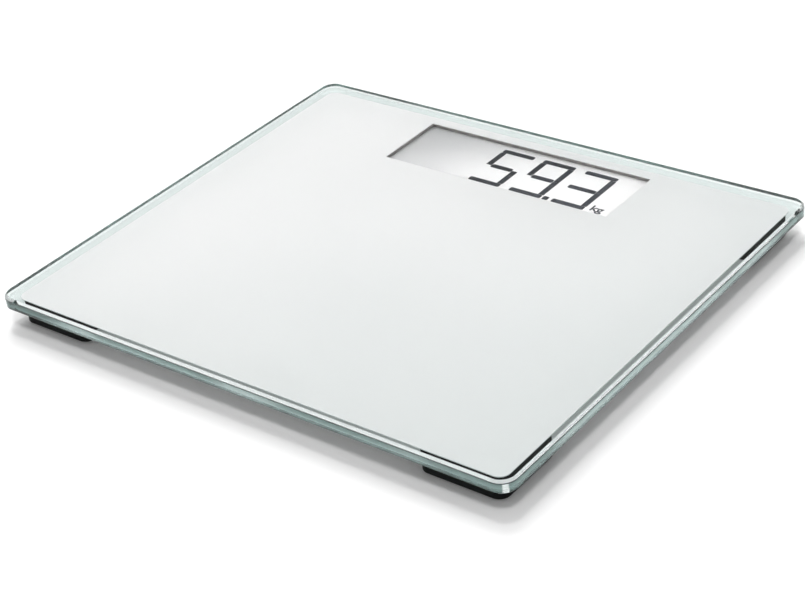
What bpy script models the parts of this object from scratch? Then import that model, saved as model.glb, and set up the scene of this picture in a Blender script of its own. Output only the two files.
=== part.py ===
"""A glass bathroom scale with an LCD read-out, standing on four load-cell feet.

Metres, +Z up. The origin is on the floor under the middle of the glass; +X runs along the
front edge and +Y towards the display. Levels are stacked from the floor up through a foot to
the glass, and from the glass down again through the display and the battery.
"""

import math

import bmesh
import bpy
from mathutils import Matrix, Vector

# Clearances
seat_gap = 0.0003
running_gap = 0.0005
cut_overrun = 0.001

# Glass plate and the enamel printed under it
plate_length = 0.340
plate_width = 0.290
plate_thickness = 0.008
plate_corner_radius = 0.009
plate_arris = 0.00125
print_border = 0.007
print_thickness = 0.0002
print_corner_radius = 0.006

# Display window in the print, and the frame round it
window_side_margin = 0.0925
window_width = 0.0475
window_back_margin = 0.01375
window_corner_radius = 0.0008
frame_wall = 0.0016
frame_height = 0.0014

# Foot housing, stuck under the glass
foot_length = 0.050
foot_width = 0.045
foot_corner_radius = 0.006
foot_side_inset = 0.0085
foot_end_inset = 0.0075
foot_wall = 0.0018
foot_roof = 0.0016
foot_edge_round = 0.0012
tape_thickness = 0.0006
tape_inset = 0.0005

# Load cell and its gauge
cell_size = 0.034
cell_thickness = 0.002
cell_corner_radius = 0.003
cell_relief = 0.026
cell_relief_depth = 0.001
tongue_width = 0.012
tongue_slot = 0.002
tongue_slot_length = 0.020
gauge_length = 0.006
gauge_width = 0.004
gauge_thickness = 0.0002
gauge_root_distance = 0.003

# Moving foot plate and its rubber sole
foot_plate_thickness = 0.0019
boss_radius = 0.004
boss_height = 0.0012
pad_thickness = 0.0012
pad_inset = 0.0022
pad_edge_round = 0.0004

# LCD, its reflector and its ribbon
lcd_glass = 0.0011
lcd_ledge = 0.004
reflector_thickness = 0.0004
reflector_inset = 0.0021
ribbon_holder_room = 0.004
ribbon_end_inset = 0.008
ribbon_thickness = 0.0002
ribbon_lap = 0.0032

# Circuit board and what it carries
board_end_inset = 0.0041
board_width = 0.028
board_thickness = 0.0012
board_corner_radius = 0.0015
board_back_gap = 0.002
board_front_room = 0.0022
chip_size = 0.010
chip_height = 0.001
chip_end_inset = 0.014
switch_size = 0.006
switch_height = 0.003
switch_plunger_radius = 0.00175
switch_plunger_height = 0.0006

# Electronics housing and its cover
housing_wall = 0.0018
housing_corner_radius = 0.005
housing_boss_radius = 0.003
housing_boss_sink = 0.0006
lcd_to_boss_room = 0.0009
rib_width = 0.004
rib_door_room = 0.002
rib_reach = 0.0015
shelf_width = 0.030
shelf_thickness = 0.0015
shelf_reach = 0.0011
cover_thickness = 0.0016
screw_radius = 0.00105
screw_head_radius = 0.0021
screw_head_depth = 0.00105
screw_recess_width = 0.0006
screw_recess_length = 0.0025
screw_recess_depth = 0.0005

# Battery, its holder, contacts and door
coin_radius = 0.01225
coin_thickness = 0.003
coin_end_inset = 0.018
coin_rim = 0.0004
holder_wall = 0.0016
holder_opening_degrees = 40.0
contact_thickness = 0.0003
contact_length = 0.016
contact_width = 0.008
side_contact_width = 0.006
coin_to_door_room = 0.0005
door_length = 0.033
door_width = 0.032
door_flange_thickness = 0.0008
door_flange_reach = 0.0015
door_corner_radius = 0.0006
grip_count = 3
grip_width = 0.001
grip_depth = 0.0005
grip_pitch = 0.0025
grip_length = 0.018

# Unit button
button_end_inset = 0.036
button_radius = 0.0035
button_flange_radius = 0.0046
button_flange_thickness = 0.0006
button_dish_radius = 0.0026
button_dish_depth = 0.0003

# Cell cables and the channels over the long ones
cable_radius = 0.0008
cable_point_spacing = 0.0046
cable_lead = 0.006
cable_bend = 0.016
cable_run_inset = 0.005
channel_wall = 0.0008
channel_room = 0.0010
channel_floor = 0.0007

# Facets of round shapes
corner_steps = 8
round_steps = 28
smooth_angle = math.radians(35)
sharp_edge_angle = math.radians(60)
weld_distance = 0.000001

# Levels from the floor up, through a foot
pad_top = pad_thickness
foot_plate_low = pad_top + seat_gap
foot_plate_top = foot_plate_low + foot_plate_thickness
boss_top = foot_plate_top + boss_height
cell_low = boss_top + seat_gap
cell_top = cell_low + cell_thickness
cell_seat = cell_top + seat_gap
foot_roof_low = cell_seat + cell_relief_depth
foot_top = foot_roof_low + foot_roof
tape_low = foot_top + seat_gap
tape_top = tape_low + tape_thickness
print_low = tape_top + seat_gap
print_top = print_low + print_thickness
plate_low = print_top + seat_gap
plate_top = plate_low + plate_thickness

# Levels from the print down, through the display and the battery
frame_top = print_low - seat_gap
frame_low = frame_top - frame_height
lcd_top = frame_low - seat_gap
lcd_ledge_top = lcd_top - lcd_glass
lcd_low = lcd_ledge_top - lcd_glass
reflector_top = lcd_low - seat_gap
reflector_low = reflector_top - reflector_thickness
ribbon_low = lcd_ledge_top + seat_gap
ribbon_top = ribbon_low + ribbon_thickness
board_low = ribbon_top + seat_gap
board_top = board_low + board_thickness
board_middle = (board_low + board_top) / 2
contact_top = board_low - seat_gap
coin_top = contact_top - contact_thickness - seat_gap
coin_low = coin_top - coin_thickness
door_top = coin_low - coin_to_door_room
door_flange_low = door_top - door_flange_thickness
cover_top = door_flange_low - seat_gap
cover_low = cover_top - cover_thickness
housing_low = cover_top + seat_gap

# Places of the feet
foot_x = plate_length / 2 - foot_side_inset - foot_length / 2
foot_y = plate_width / 2 - foot_end_inset - foot_width / 2
foot_inner_x = foot_x - foot_length / 2
cell_middle = (cell_low + cell_top) / 2

# Places of the display and what stands in front of it
window_y = plate_width / 2 - window_back_margin - window_width / 2
window_length = plate_length - 2 * window_side_margin
frame_length = window_length + 2 * frame_wall
frame_width = window_width + 2 * frame_wall
lcd_front_y = window_y - frame_width / 2
ledge_front_y = lcd_front_y - lcd_ledge
board_back_y = ledge_front_y - board_back_gap
board_y = board_back_y - board_width / 2
board_front_y = board_y - board_width / 2
board_length = frame_length - 2 * board_end_inset

# Places along the board
coin_x = coin_end_inset - board_length / 2
button_x = board_length / 2 - button_end_inset
chip_x = board_length / 2 - chip_end_inset
cable_run_x = board_length / 2 - cable_run_inset
ribbon_low_x = coin_x + coin_radius + seat_gap + holder_wall + ribbon_holder_room
ribbon_high_x = board_length / 2 - ribbon_end_inset
door_slot_half = door_width / 2 + door_flange_reach + seat_gap
rib_x = -(coin_x + door_slot_half + rib_door_room + rib_width / 2)

# Outline of the electronics housing
housing_inner_back_y = window_y + frame_width / 2 + seat_gap
housing_inner_front_y = board_front_y - board_front_room
housing_inner_x = frame_length / 2 + lcd_to_boss_room + 2 * housing_boss_radius - housing_boss_sink
housing_half_length = housing_inner_x + housing_wall
housing_back_y = housing_inner_back_y + housing_wall
housing_front_y = housing_inner_front_y - housing_wall
housing_y = (housing_back_y + housing_front_y) / 2
housing_length = 2 * housing_half_length
housing_width = housing_back_y - housing_front_y
boss_x = housing_inner_x + housing_boss_sink - housing_boss_radius
boss_back_y = housing_inner_back_y + housing_boss_sink - housing_boss_radius
boss_front_y = housing_inner_front_y - housing_boss_sink + housing_boss_radius
screw_hole_radius = screw_radius + seat_gap

CORNERS = {
    "front_left": (-1, -1),
    "front_right": (1, -1),
    "back_left": (-1, 1),
    "back_right": (1, 1),
}

# Colour, roughness, metallic
GLASS = ((0.80, 0.90, 0.87), 0.02, 0.0)
WHITE_ENAMEL = ((0.90, 0.92, 0.92), 0.35, 0.0)
GREY_PLASTIC = ((0.30, 0.31, 0.31), 0.5, 0.0)
WHITE_PLASTIC = ((0.82, 0.83, 0.82), 0.5, 0.0)
BLACK_PLASTIC = ((0.018, 0.02, 0.02), 0.45, 0.0)
BLACK_FOAM = ((0.01, 0.01, 0.01), 0.9, 0.0)
BLACK_RUBBER = ((0.025, 0.025, 0.025), 0.85, 0.0)
LCD_GREY = ((0.66, 0.68, 0.66), 0.25, 0.0)
REFLECTOR_SILVER = ((0.72, 0.73, 0.72), 0.35, 0.6)
RIBBON_AMBER = ((0.45, 0.24, 0.06), 0.4, 0.0)
BOARD_GREEN = ((0.02, 0.16, 0.07), 0.45, 0.0)
CHIP_BLACK = ((0.02, 0.02, 0.02), 0.3, 0.0)
STEEL = ((0.56, 0.57, 0.58), 0.32, 1.0)
GAUGE_FILM = ((0.62, 0.36, 0.12), 0.4, 0.0)
CABLE_GREY = ((0.45, 0.45, 0.46), 0.5, 0.0)


def clear_scene():
    for obj in list(bpy.data.objects):
        bpy.data.objects.remove(obj, do_unlink=True)


def new_collection(name):
    collection = bpy.data.collections.new(name)
    bpy.context.scene.collection.children.link(collection)
    return collection


clear_scene()
PARTS = new_collection("bathroom_scale")
CUTTERS = new_collection("bathroom_scale_cutters")


# Placing, finishing and cutting


def add_object(name, data, place=(0, 0, 0), parent=None):
    obj = bpy.data.objects.new(name, data)
    PARTS.objects.link(obj)
    obj.location = place
    obj.parent = parent
    return obj


def dress(obj, finish):
    """Gives the object its own material."""
    colour, roughness, metallic = finish
    material = bpy.data.materials.new(obj.name)
    material.use_nodes = True
    shader = material.node_tree.nodes["Principled BSDF"]
    shader.inputs["Base Color"].default_value = (*colour, 1)
    shader.inputs["Roughness"].default_value = roughness
    shader.inputs["Metallic"].default_value = metallic
    material.diffuse_color = (*colour, 1)
    obj.data.materials.clear()
    obj.data.materials.append(material)
    return obj


def make_helper(obj):
    """Turns an object into a cutter or a shape to be joined on."""
    PARTS.objects.unlink(obj)
    CUTTERS.objects.link(obj)
    obj.hide_render = True
    obj.display_type = "WIRE"
    return obj


def apply_boolean(target, other, operation):
    modifier = target.modifiers.new(other.name, "BOOLEAN")
    modifier.operation = operation
    modifier.solver = "EXACT"
    modifier.object = make_helper(other)
    return target


def cut(target, *cutters):
    for cutter in cutters:
        apply_boolean(target, cutter, "DIFFERENCE")
    return target


def join(target, *others):
    for other in others:
        apply_boolean(target, other, "UNION")
    return target


def shade_round(obj):
    obj.data.shade_smooth()
    obj.data.set_sharp_from_angle(angle=smooth_angle)
    return obj


# Outlines


def arc_points(centre, radius, start, end, steps):
    turn = end - start
    angles = [start + turn * step / steps for step in range(steps + 1)]
    return [(centre[0] + radius * math.cos(a), centre[1] + radius * math.sin(a)) for a in angles]


def rounded_outline(length, width, radius, centre=(0, 0)):
    """The points of a rectangle with round corners, anticlockwise."""
    points = []
    for quarter, (sign_x, sign_y) in enumerate(((1, 1), (-1, 1), (-1, -1), (1, -1))):
        middle = (
            centre[0] + sign_x * (length / 2 - radius),
            centre[1] + sign_y * (width / 2 - radius),
        )
        start = quarter * math.pi / 2
        points += arc_points(middle, radius, start, start + math.pi / 2, corner_steps)
    return points


def flat_piece(name, outlines, low, high, place=(0, 0), parent=None):
    """A flat piece between two levels, cut along outlines of which the inner ones are holes."""
    curve = bpy.data.curves.new(name, "CURVE")
    curve.dimensions = "2D"
    curve.fill_mode = "BOTH"
    curve.extrude = (high - low) / 2
    for outline in outlines:
        spline = curve.splines.new("POLY")
        spline.points.add(len(outline) - 1)
        for point, (x, y) in zip(spline.points, outline):
            point.co = (x, y, 0, 1)
        spline.use_cyclic_u = True
    drawn = bpy.data.objects.new(name, curve)
    PARTS.objects.link(drawn)
    mesh = mesh_of_curve(drawn)
    bpy.data.objects.remove(drawn, do_unlink=True)
    return add_object(name, mesh, (place[0], place[1], (low + high) / 2), parent)


def mesh_of_curve(drawn):
    """The evaluated curve as a closed mesh."""
    graph = bpy.context.evaluated_depsgraph_get()
    mesh = bpy.data.meshes.new_from_object(drawn.evaluated_get(graph))
    shape = bmesh.new()
    shape.from_mesh(mesh)
    bmesh.ops.remove_doubles(shape, verts=shape.verts, dist=weld_distance)
    bmesh.ops.recalc_face_normals(shape, faces=shape.faces)
    shape.to_mesh(mesh)
    shape.free()
    mesh.name = drawn.name
    return mesh


def box(name, size, place, parent=None):
    """A box of the given size, centred on its place."""
    mesh = bpy.data.meshes.new(name)
    shape = bmesh.new()
    bmesh.ops.create_cube(shape, size=1, matrix=Matrix.Diagonal((*size, 1)))
    shape.to_mesh(mesh)
    shape.free()
    return add_object(name, mesh, place, parent)


def box_between(name, low, high, parent=None):
    """A box between two corners."""
    size = [b - a for a, b in zip(low, high)]
    middle = [(a + b) / 2 for a, b in zip(low, high)]
    return box(name, size, middle, parent)


def upright_cylinder(name, radius, low, high, place=(0, 0), parent=None):
    mesh = bpy.data.meshes.new(name)
    shape = bmesh.new()
    bmesh.ops.create_cone(
        shape, cap_ends=True, segments=round_steps, radius1=radius, radius2=radius, depth=high - low
    )
    shape.to_mesh(mesh)
    shape.free()
    return add_object(name, mesh, (place[0], place[1], (low + high) / 2), parent)


def turned_piece(name, profile, place, parent=None):
    """A solid of revolution; the profile's (radius, height) points run from the top down."""
    mesh = bpy.data.meshes.new(name)
    edges = [(step, step + 1) for step in range(len(profile) - 1)]
    mesh.from_pydata([(radius, 0, height) for radius, height in profile], edges, [])
    obj = add_object(name, mesh, place, parent)
    screw = obj.modifiers.new("turn", "SCREW")
    screw.steps = round_steps
    screw.render_steps = round_steps
    screw.use_merge_vertices = True
    screw.merge_threshold = weld_distance
    screw.use_smooth_shade = False
    return obj


def round_edges(obj, width, segments, level=None):
    """Bevels the sharp edges, or only those at one level of the piece's own mesh."""
    bevel = obj.modifiers.new("edges", "BEVEL")
    bevel.width = width
    bevel.segments = segments
    if level is None:
        bevel.limit_method = "ANGLE"
        bevel.angle_limit = sharp_edge_angle
        return obj
    bevel.limit_method = "WEIGHT"
    shape = bmesh.new()
    shape.from_mesh(obj.data)
    weights = shape.edges.layers.float.new("bevel_weight_edge")
    for edge in shape.edges:
        at_level = all(abs(vert.co.z - level) < weld_distance for vert in edge.verts)
        if at_level and edge.calc_face_angle(0) > sharp_edge_angle:
            edge[weights] = 1
    shape.to_mesh(obj.data)
    shape.free()
    return obj


# The glass and its print


def build_platform():
    outline = rounded_outline(plate_length, plate_width, plate_corner_radius)
    plate = flat_piece("glass_platform", [outline], plate_low, plate_top)
    round_edges(plate, plate_arris, 1)
    dress(plate, GLASS)

    outline = rounded_outline(
        plate_length - 2 * print_border, plate_width - 2 * print_border, print_corner_radius
    )
    window = rounded_outline(window_length, window_width, window_corner_radius, (0, window_y))
    dress(flat_piece("print_layer", [outline, window], print_low, print_top), WHITE_ENAMEL)


# One foot


def build_foot(corner, sign_x, sign_y):
    """Everything under one corner, parented to an empty on the foot's own axis."""
    axis = bpy.data.objects.new(f"foot_axis_{corner}", None)
    PARTS.objects.link(axis)
    axis.location = (sign_x * foot_x, sign_y * foot_y, 0)

    outline = rounded_outline(
        foot_length - 2 * tape_inset, foot_width - 2 * tape_inset, foot_corner_radius - tape_inset
    )
    tape = flat_piece(f"adhesive_pad_{corner}", [outline], tape_low, tape_top, parent=axis)
    dress(tape, BLACK_FOAM)
    build_foot_housing(corner, sign_x, axis)
    build_load_cell(corner, sign_y, axis)
    build_foot_plate(corner, axis)


def build_foot_housing(corner, sign_x, axis):
    name = f"foot_housing_{corner}"
    outline = rounded_outline(foot_length, foot_width, foot_corner_radius)
    housing = flat_piece(name, [outline], foot_plate_low, foot_top, parent=axis)
    round_edges(housing, foot_edge_round, 3, level=(foot_plate_low - foot_top) / 2)
    inner_radius = foot_corner_radius - foot_wall
    inner = rounded_outline(foot_length - 2 * foot_wall, foot_width - 2 * foot_wall, inner_radius)
    hollow = flat_piece(
        f"{name}_hollow", [inner], foot_plate_low - cut_overrun, cell_seat, parent=axis
    )
    relief_low = cell_seat - cut_overrun
    relief = rounded_outline(cell_relief, cell_relief, cell_corner_radius)
    relief_cut = flat_piece(f"{name}_relief", [relief], relief_low, foot_roof_low, parent=axis)
    cable_hole = upright_cylinder(
        f"{name}_cable_hole",
        cable_radius + seat_gap,
        -foot_wall - cut_overrun,
        foot_wall + cut_overrun,
        parent=axis,
    )
    cable_hole.rotation_euler = (0, math.pi / 2, 0)
    cable_hole.location = (-sign_x * (foot_length / 2 - foot_wall / 2), 0, cell_middle)
    cut(housing, hollow, relief_cut, cable_hole)
    dress(shade_round(housing), BLACK_PLASTIC)


def build_load_cell(corner, sign_y, axis):
    """A square steel plate whose slot leaves a tongue rooted on the side away from the middle."""
    outline = rounded_outline(cell_size, cell_size, cell_corner_radius)
    half_tongue = tongue_width / 2
    half_slot = half_tongue + tongue_slot
    root = tongue_slot_length / 2
    tip = -root
    slot = [
        (-half_slot, root),
        (-half_slot, tip),
        (half_slot, tip),
        (half_slot, root),
        (half_tongue, root),
        (half_tongue, tip + tongue_slot),
        (-half_tongue, tip + tongue_slot),
        (-half_tongue, root),
    ]
    slot = [(x, sign_y * y) for x, y in slot]
    cell = flat_piece(f"load_cell_{corner}", [outline, slot], cell_low, cell_top, parent=axis)
    dress(cell, STEEL)

    gauge_low = cell_top + seat_gap
    gauge_size = (gauge_length, gauge_width, gauge_thickness)
    gauge_y = sign_y * (root - gauge_root_distance)
    gauge_place = (0, gauge_y, gauge_low + gauge_thickness / 2)
    dress(box(f"strain_gauge_{corner}", gauge_size, gauge_place, axis), GAUGE_FILM)


def build_foot_plate(corner, axis):
    """The moving plate: a tray with a boss under the tongue, and the rubber sole under it."""
    inset = foot_wall + running_gap
    length = foot_length - 2 * inset
    width = foot_width - 2 * inset
    radius = foot_corner_radius - inset
    outline = rounded_outline(length, width, radius)
    name = f"foot_plate_{corner}"
    plate = flat_piece(name, [outline], foot_plate_low, foot_plate_top, parent=axis)
    boss_low = foot_plate_low + foot_plate_thickness / 2
    boss = upright_cylinder(f"{name}_boss", boss_radius, boss_low, boss_top, parent=axis)
    dress(join(plate, boss), BLACK_PLASTIC)

    sole = rounded_outline(length - 2 * pad_inset, width - 2 * pad_inset, radius)
    pad = flat_piece(f"foot_pad_{corner}", [sole], 0, pad_top, parent=axis)
    round_edges(pad, pad_edge_round, 2, level=-pad_thickness / 2)
    dress(shade_round(pad), BLACK_RUBBER)


# Display


def build_display():
    outer = rounded_outline(frame_length, frame_width, frame_wall)
    window = rounded_outline(window_length, window_width, window_corner_radius)
    frame = flat_piece("display_frame", [outer, window], frame_low, frame_top, (0, window_y))
    dress(frame, GREY_PLASTIC)

    lcd = box_between(
        "lcd_panel",
        (-frame_length / 2, ledge_front_y, lcd_low),
        (frame_length / 2, window_y + frame_width / 2, lcd_top),
    )
    ledge_cut = box_between(
        "lcd_ledge_cut",
        (-frame_length / 2 - cut_overrun, ledge_front_y - cut_overrun, lcd_ledge_top),
        (frame_length / 2 + cut_overrun, lcd_front_y, lcd_top + cut_overrun),
    )
    dress(cut(lcd, ledge_cut), LCD_GREY)

    reflector = box_between(
        "lcd_reflector",
        (-frame_length / 2 + reflector_inset, lcd_front_y + reflector_inset, reflector_low),
        (frame_length / 2 - reflector_inset, window_y + frame_width / 2 - reflector_inset, reflector_top),
    )
    dress(reflector, REFLECTOR_SILVER)

    ribbon = box_between(
        "lcd_ribbon",
        (ribbon_low_x, board_back_y - ribbon_lap, ribbon_low),
        (ribbon_high_x, ledge_front_y + ribbon_lap, ribbon_top),
    )
    dress(ribbon, RIBBON_AMBER)


# Circuit board


def build_board():
    outline = rounded_outline(board_length, board_width, board_corner_radius)
    board = flat_piece("circuit_board", [outline], board_low, board_top, (0, board_y))
    dress(board, BOARD_GREEN)

    chip_place = (chip_x, board_y, contact_top - chip_height / 2)
    chip = box("controller_chip", (chip_size, chip_size, chip_height), chip_place)
    dress(chip, CHIP_BLACK)

    switch_low = contact_top - switch_height
    switch_place = (button_x, board_y, contact_top - switch_height / 2)
    switch = box("tact_switch", (switch_size, switch_size, switch_height), switch_place)
    plunger = upright_cylinder(
        "tact_switch_plunger",
        switch_plunger_radius,
        switch_low - switch_plunger_height,
        switch_low + switch_height / 2,
        (button_x, board_y),
    )
    dress(join(switch, plunger), CHIP_BLACK)


# Electronics housing, its cover and its screws


def boss_places():
    for end, y in (("front", boss_front_y), ("back", boss_back_y)):
        for side, sign in (("left", -1), ("right", 1)):
            yield f"{end}_{side}", sign * boss_x, y


def build_housing():
    outline = rounded_outline(housing_length, housing_width, housing_corner_radius)
    inner = rounded_outline(
        housing_length - 2 * housing_wall,
        housing_width - 2 * housing_wall,
        housing_corner_radius - housing_wall,
    )
    place = (0, housing_y)
    housing = flat_piece("electronics_housing", [outline, inner], housing_low, frame_top, place)
    join(housing, *housing_supports())
    for corner, x, y in boss_places():
        boss = upright_cylinder(
            f"housing_boss_{corner}", housing_boss_radius, housing_low, contact_top, (x, y)
        )
        join(housing, boss)
        hole_top = contact_top - housing_wall
        hole_low = housing_low - cut_overrun
        name = f"housing_screw_hole_{corner}"
        cut(housing, upright_cylinder(name, screw_hole_radius, hole_low, hole_top, (x, y)))
    cut(housing, door_slot(), *housing_cable_holes())
    dress(housing, WHITE_PLASTIC)


def housing_supports():
    """Ribs under the board's front edge, and shelves under the LCD's two ends."""
    supports = []
    for side, sign in (("left", -1), ("right", 1)):
        rib = box_between(
            f"housing_rib_{side}",
            (sign * rib_x - rib_width / 2, housing_inner_front_y - housing_wall / 2, housing_low),
            (sign * rib_x + rib_width / 2, board_front_y + rib_reach, contact_top),
        )
        shelf_outer = housing_inner_x + housing_wall / 2
        shelf_inner = frame_length / 2 - shelf_reach
        shelf = box(
            f"housing_shelf_{side}",
            (shelf_outer - shelf_inner, shelf_width, shelf_thickness),
            (
                sign * (shelf_outer + shelf_inner) / 2,
                window_y,
                lcd_low - seat_gap - shelf_thickness / 2,
            ),
        )
        supports += [rib, shelf]
    return supports


def door_slot():
    """The slot under the front wall that the door's flange slides through."""
    return box_between(
        "housing_door_slot",
        (coin_x - door_slot_half, housing_front_y - cut_overrun, housing_low - cut_overrun),
        (coin_x + door_slot_half, housing_inner_front_y + cut_overrun, door_top + seat_gap),
    )


def housing_cable_holes():
    reach = housing_wall / 2 + cut_overrun
    holes = []
    for side, sign in (("left", -1), ("right", 1)):
        front = upright_cylinder(f"housing_front_hole_{side}", cable_radius + seat_gap, -reach, reach)
        front.rotation_euler = (math.pi / 2, 0, 0)
        front.location = (sign * cable_run_x, housing_front_y + housing_wall / 2, board_middle)
        end = upright_cylinder(f"housing_end_hole_{side}", cable_radius + seat_gap, -reach, reach)
        end.rotation_euler = (0, math.pi / 2, 0)
        end.location = (sign * (housing_half_length - housing_wall / 2), board_y, board_middle)
        holes += [front, end]
    return holes


def build_cover():
    outline = rounded_outline(housing_length, housing_width, housing_corner_radius)
    cover = flat_piece("housing_cover", [outline], cover_low, cover_top, (0, housing_y))
    half_opening = door_width / 2 + seat_gap
    opening = box_between(
        "cover_door_opening",
        (coin_x - half_opening, housing_front_y - cut_overrun, cover_low - cut_overrun),
        (
            coin_x + half_opening,
            housing_front_y + door_length + seat_gap,
            cover_top + cut_overrun,
        ),
    )
    button_hole = upright_cylinder(
        "cover_button_hole",
        button_radius + seat_gap,
        cover_low - cut_overrun,
        cover_top + cut_overrun,
        (button_x, board_y),
    )
    cut(cover, opening, button_hole)
    for corner, x, y in boss_places():
        cut(cover, screw_hole(corner, x, y))
    dress(cover, WHITE_PLASTIC)


def screw_hole(corner, x, y):
    """A countersunk hole, the screw's own shape with a gap round it."""
    sink_radius = screw_head_radius + seat_gap
    profile = [
        (0, cover_thickness + cut_overrun),
        (screw_hole_radius, cover_thickness + cut_overrun),
        (screw_hole_radius, screw_head_depth),
        (sink_radius, 0),
        (sink_radius, -cut_overrun),
        (0, -cut_overrun),
    ]
    return turned_piece(f"cover_screw_hole_{corner}", profile, (x, y, cover_low))


def build_screws():
    """Countersunk screws, heads down, with a cross recess."""
    shaft_top = contact_top - housing_wall - seat_gap - cover_low
    profile = [
        (0, shaft_top),
        (screw_radius / 2, shaft_top),
        (screw_radius, shaft_top - screw_radius),
        (screw_radius, screw_head_depth),
        (screw_head_radius, 0),
        (0, 0),
    ]
    recess_low = cover_low - cut_overrun
    recess_top = cover_low + screw_recess_depth
    for corner, x, y in boss_places():
        name = f"cover_screw_{corner}"
        screw = turned_piece(name, profile, (x, y, cover_low))
        long_half = screw_recess_length / 2
        short_half = screw_recess_width / 2
        for word, half_x, half_y in (("a", long_half, short_half), ("b", short_half, long_half)):
            recess = box_between(
                f"{name}_recess_{word}",
                (x - half_x, y - half_y, recess_low),
                (x + half_x, y + half_y, recess_top),
            )
            cut(screw, recess)
        dress(shade_round(screw), STEEL)


# Battery and button


def build_battery():
    profile = [
        (0, coin_thickness),
        (coin_radius - coin_rim, coin_thickness),
        (coin_radius, coin_thickness - coin_rim),
        (coin_radius, coin_rim),
        (coin_radius - coin_rim, 0),
        (0, 0),
    ]
    coin = turned_piece("coin_cell", profile, (coin_x, board_y, coin_low))
    dress(shade_round(coin), STEEL)

    inner_radius = coin_radius + seat_gap
    outer_radius = inner_radius + holder_wall
    start = math.radians(holder_opening_degrees) / 2
    end = 2 * math.pi - start
    outline = arc_points((0, 0), outer_radius, start, end, round_steps)
    outline += arc_points((0, 0), inner_radius, end, start, round_steps)
    holder = flat_piece("battery_holder", [outline], coin_low, contact_top, (coin_x, board_y))
    dress(holder, BLACK_PLASTIC)

    strip_size = (contact_length, contact_width, contact_thickness)
    strip_place = (coin_x, board_y, contact_top - contact_thickness / 2)
    dress(box("battery_contact_top", strip_size, strip_place), STEEL)
    leaf_x = coin_x + coin_radius + seat_gap
    leaf = box_between(
        "battery_contact_side",
        (leaf_x, board_y - side_contact_width / 2, coin_low),
        (leaf_x + contact_thickness, board_y + side_contact_width / 2, contact_top),
    )
    dress(leaf, STEEL)


def build_door():
    """The sliding door: a plate flush with the cover, under a wider flange that rides on it."""
    plate_y = housing_front_y + door_length / 2
    outline = rounded_outline(door_width, door_length, door_corner_radius)
    overlap = door_flange_thickness / 2
    door = flat_piece(
        "battery_door", [outline], cover_low, door_flange_low + overlap, (coin_x, plate_y)
    )
    flange = box_between(
        "battery_door_flange",
        (coin_x - door_width / 2 - door_flange_reach, housing_front_y, door_flange_low),
        (
            coin_x + door_width / 2 + door_flange_reach,
            housing_front_y + door_length + door_flange_reach,
            door_top,
        ),
    )
    join(door, flange)
    for groove in range(grip_count):
        y = housing_front_y + door_length / 2 - (groove - (grip_count - 1) / 2) * grip_pitch
        cutter = box_between(
            f"battery_door_grip_{groove}",
            (coin_x - grip_length / 2, y - grip_width / 2, cover_low - cut_overrun),
            (coin_x + grip_length / 2, y + grip_width / 2, cover_low + grip_depth),
        )
        cut(door, cutter)
    dress(door, WHITE_PLASTIC)


def build_button():
    """The unit button, trapped by its flange above the cover."""
    flange_top = housing_low + button_flange_thickness - cover_low
    flange_low = housing_low - cover_low
    profile = [
        (0, flange_top),
        (button_flange_radius, flange_top),
        (button_flange_radius, flange_low),
        (button_radius, flange_low),
        (button_radius, 0),
        (button_dish_radius, 0),
        (button_dish_radius / 2, button_dish_depth),
        (0, button_dish_depth),
    ]
    button = turned_piece("unit_button", profile, (button_x, board_y, cover_low))
    dress(shade_round(button), GREY_PLASTIC)


# Cables


def smooth_route(stops):
    """Evenly spaced points on a smooth curve through the route's stops."""
    stops = [Vector(stop) for stop in stops]
    along = [0.0]
    for before, after in zip(stops, stops[1:]):
        along.append(along[-1] + (after - before).length)
    last = len(stops) - 1
    slopes = []
    for here in range(len(stops)):
        low, high = max(here - 1, 0), min(here + 1, last)
        slopes.append((stops[high] - stops[low]) / (along[high] - along[low]))
    points = [stops[0]]
    for here in range(last):
        span = along[here + 1] - along[here]
        steps = max(1, round(span / cable_point_spacing))
        for step in range(1, steps + 1):
            t = step / steps
            points.append(
                stops[here] * (2 * t**3 - 3 * t**2 + 1)
                + slopes[here] * span * (t**3 - 2 * t**2 + t)
                + stops[here + 1] * (3 * t**2 - 2 * t**3)
                + slopes[here + 1] * span * (t**3 - t**2)
            )
    return points


def build_cable(corner, stops, sign_x):
    curve = bpy.data.curves.new(f"cell_cable_{corner}", "CURVE")
    curve.dimensions = "3D"
    curve.bevel_depth = cable_radius
    curve.bevel_resolution = 2
    curve.use_fill_caps = True
    points = smooth_route(stops)
    spline = curve.splines.new("POLY")
    spline.points.add(len(points) - 1)
    for spline_point, point in zip(spline.points, points):
        spline_point.co = (sign_x * point.x, point.y, point.z, 1)
    dress(add_object(curve.name, curve), CABLE_GREY)


def front_route():
    """From a front cell, round under the glass and straight back to the board's front edge."""
    start_x = foot_x - cell_size / 2 - seat_gap
    lead_x = foot_inner_x - cable_lead
    run_x = cable_run_x
    rise_share = 0.45
    turn_share = 0.3
    rise = board_middle - cell_middle
    return [
        (start_x, -foot_y, cell_middle),
        (foot_inner_x, -foot_y, cell_middle),
        (lead_x, -foot_y, cell_middle),
        (lead_x - cable_bend, -foot_y, cell_middle + rise_share * rise),
        (run_x + turn_share * cable_bend, -foot_y + turn_share * cable_bend, board_middle),
        (run_x, -foot_y + cable_bend, board_middle),
        (run_x, -foot_y + 2 * cable_bend, board_middle),
        (run_x, housing_front_y, board_middle),
        (run_x, board_front_y - seat_gap, board_middle),
    ]


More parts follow.
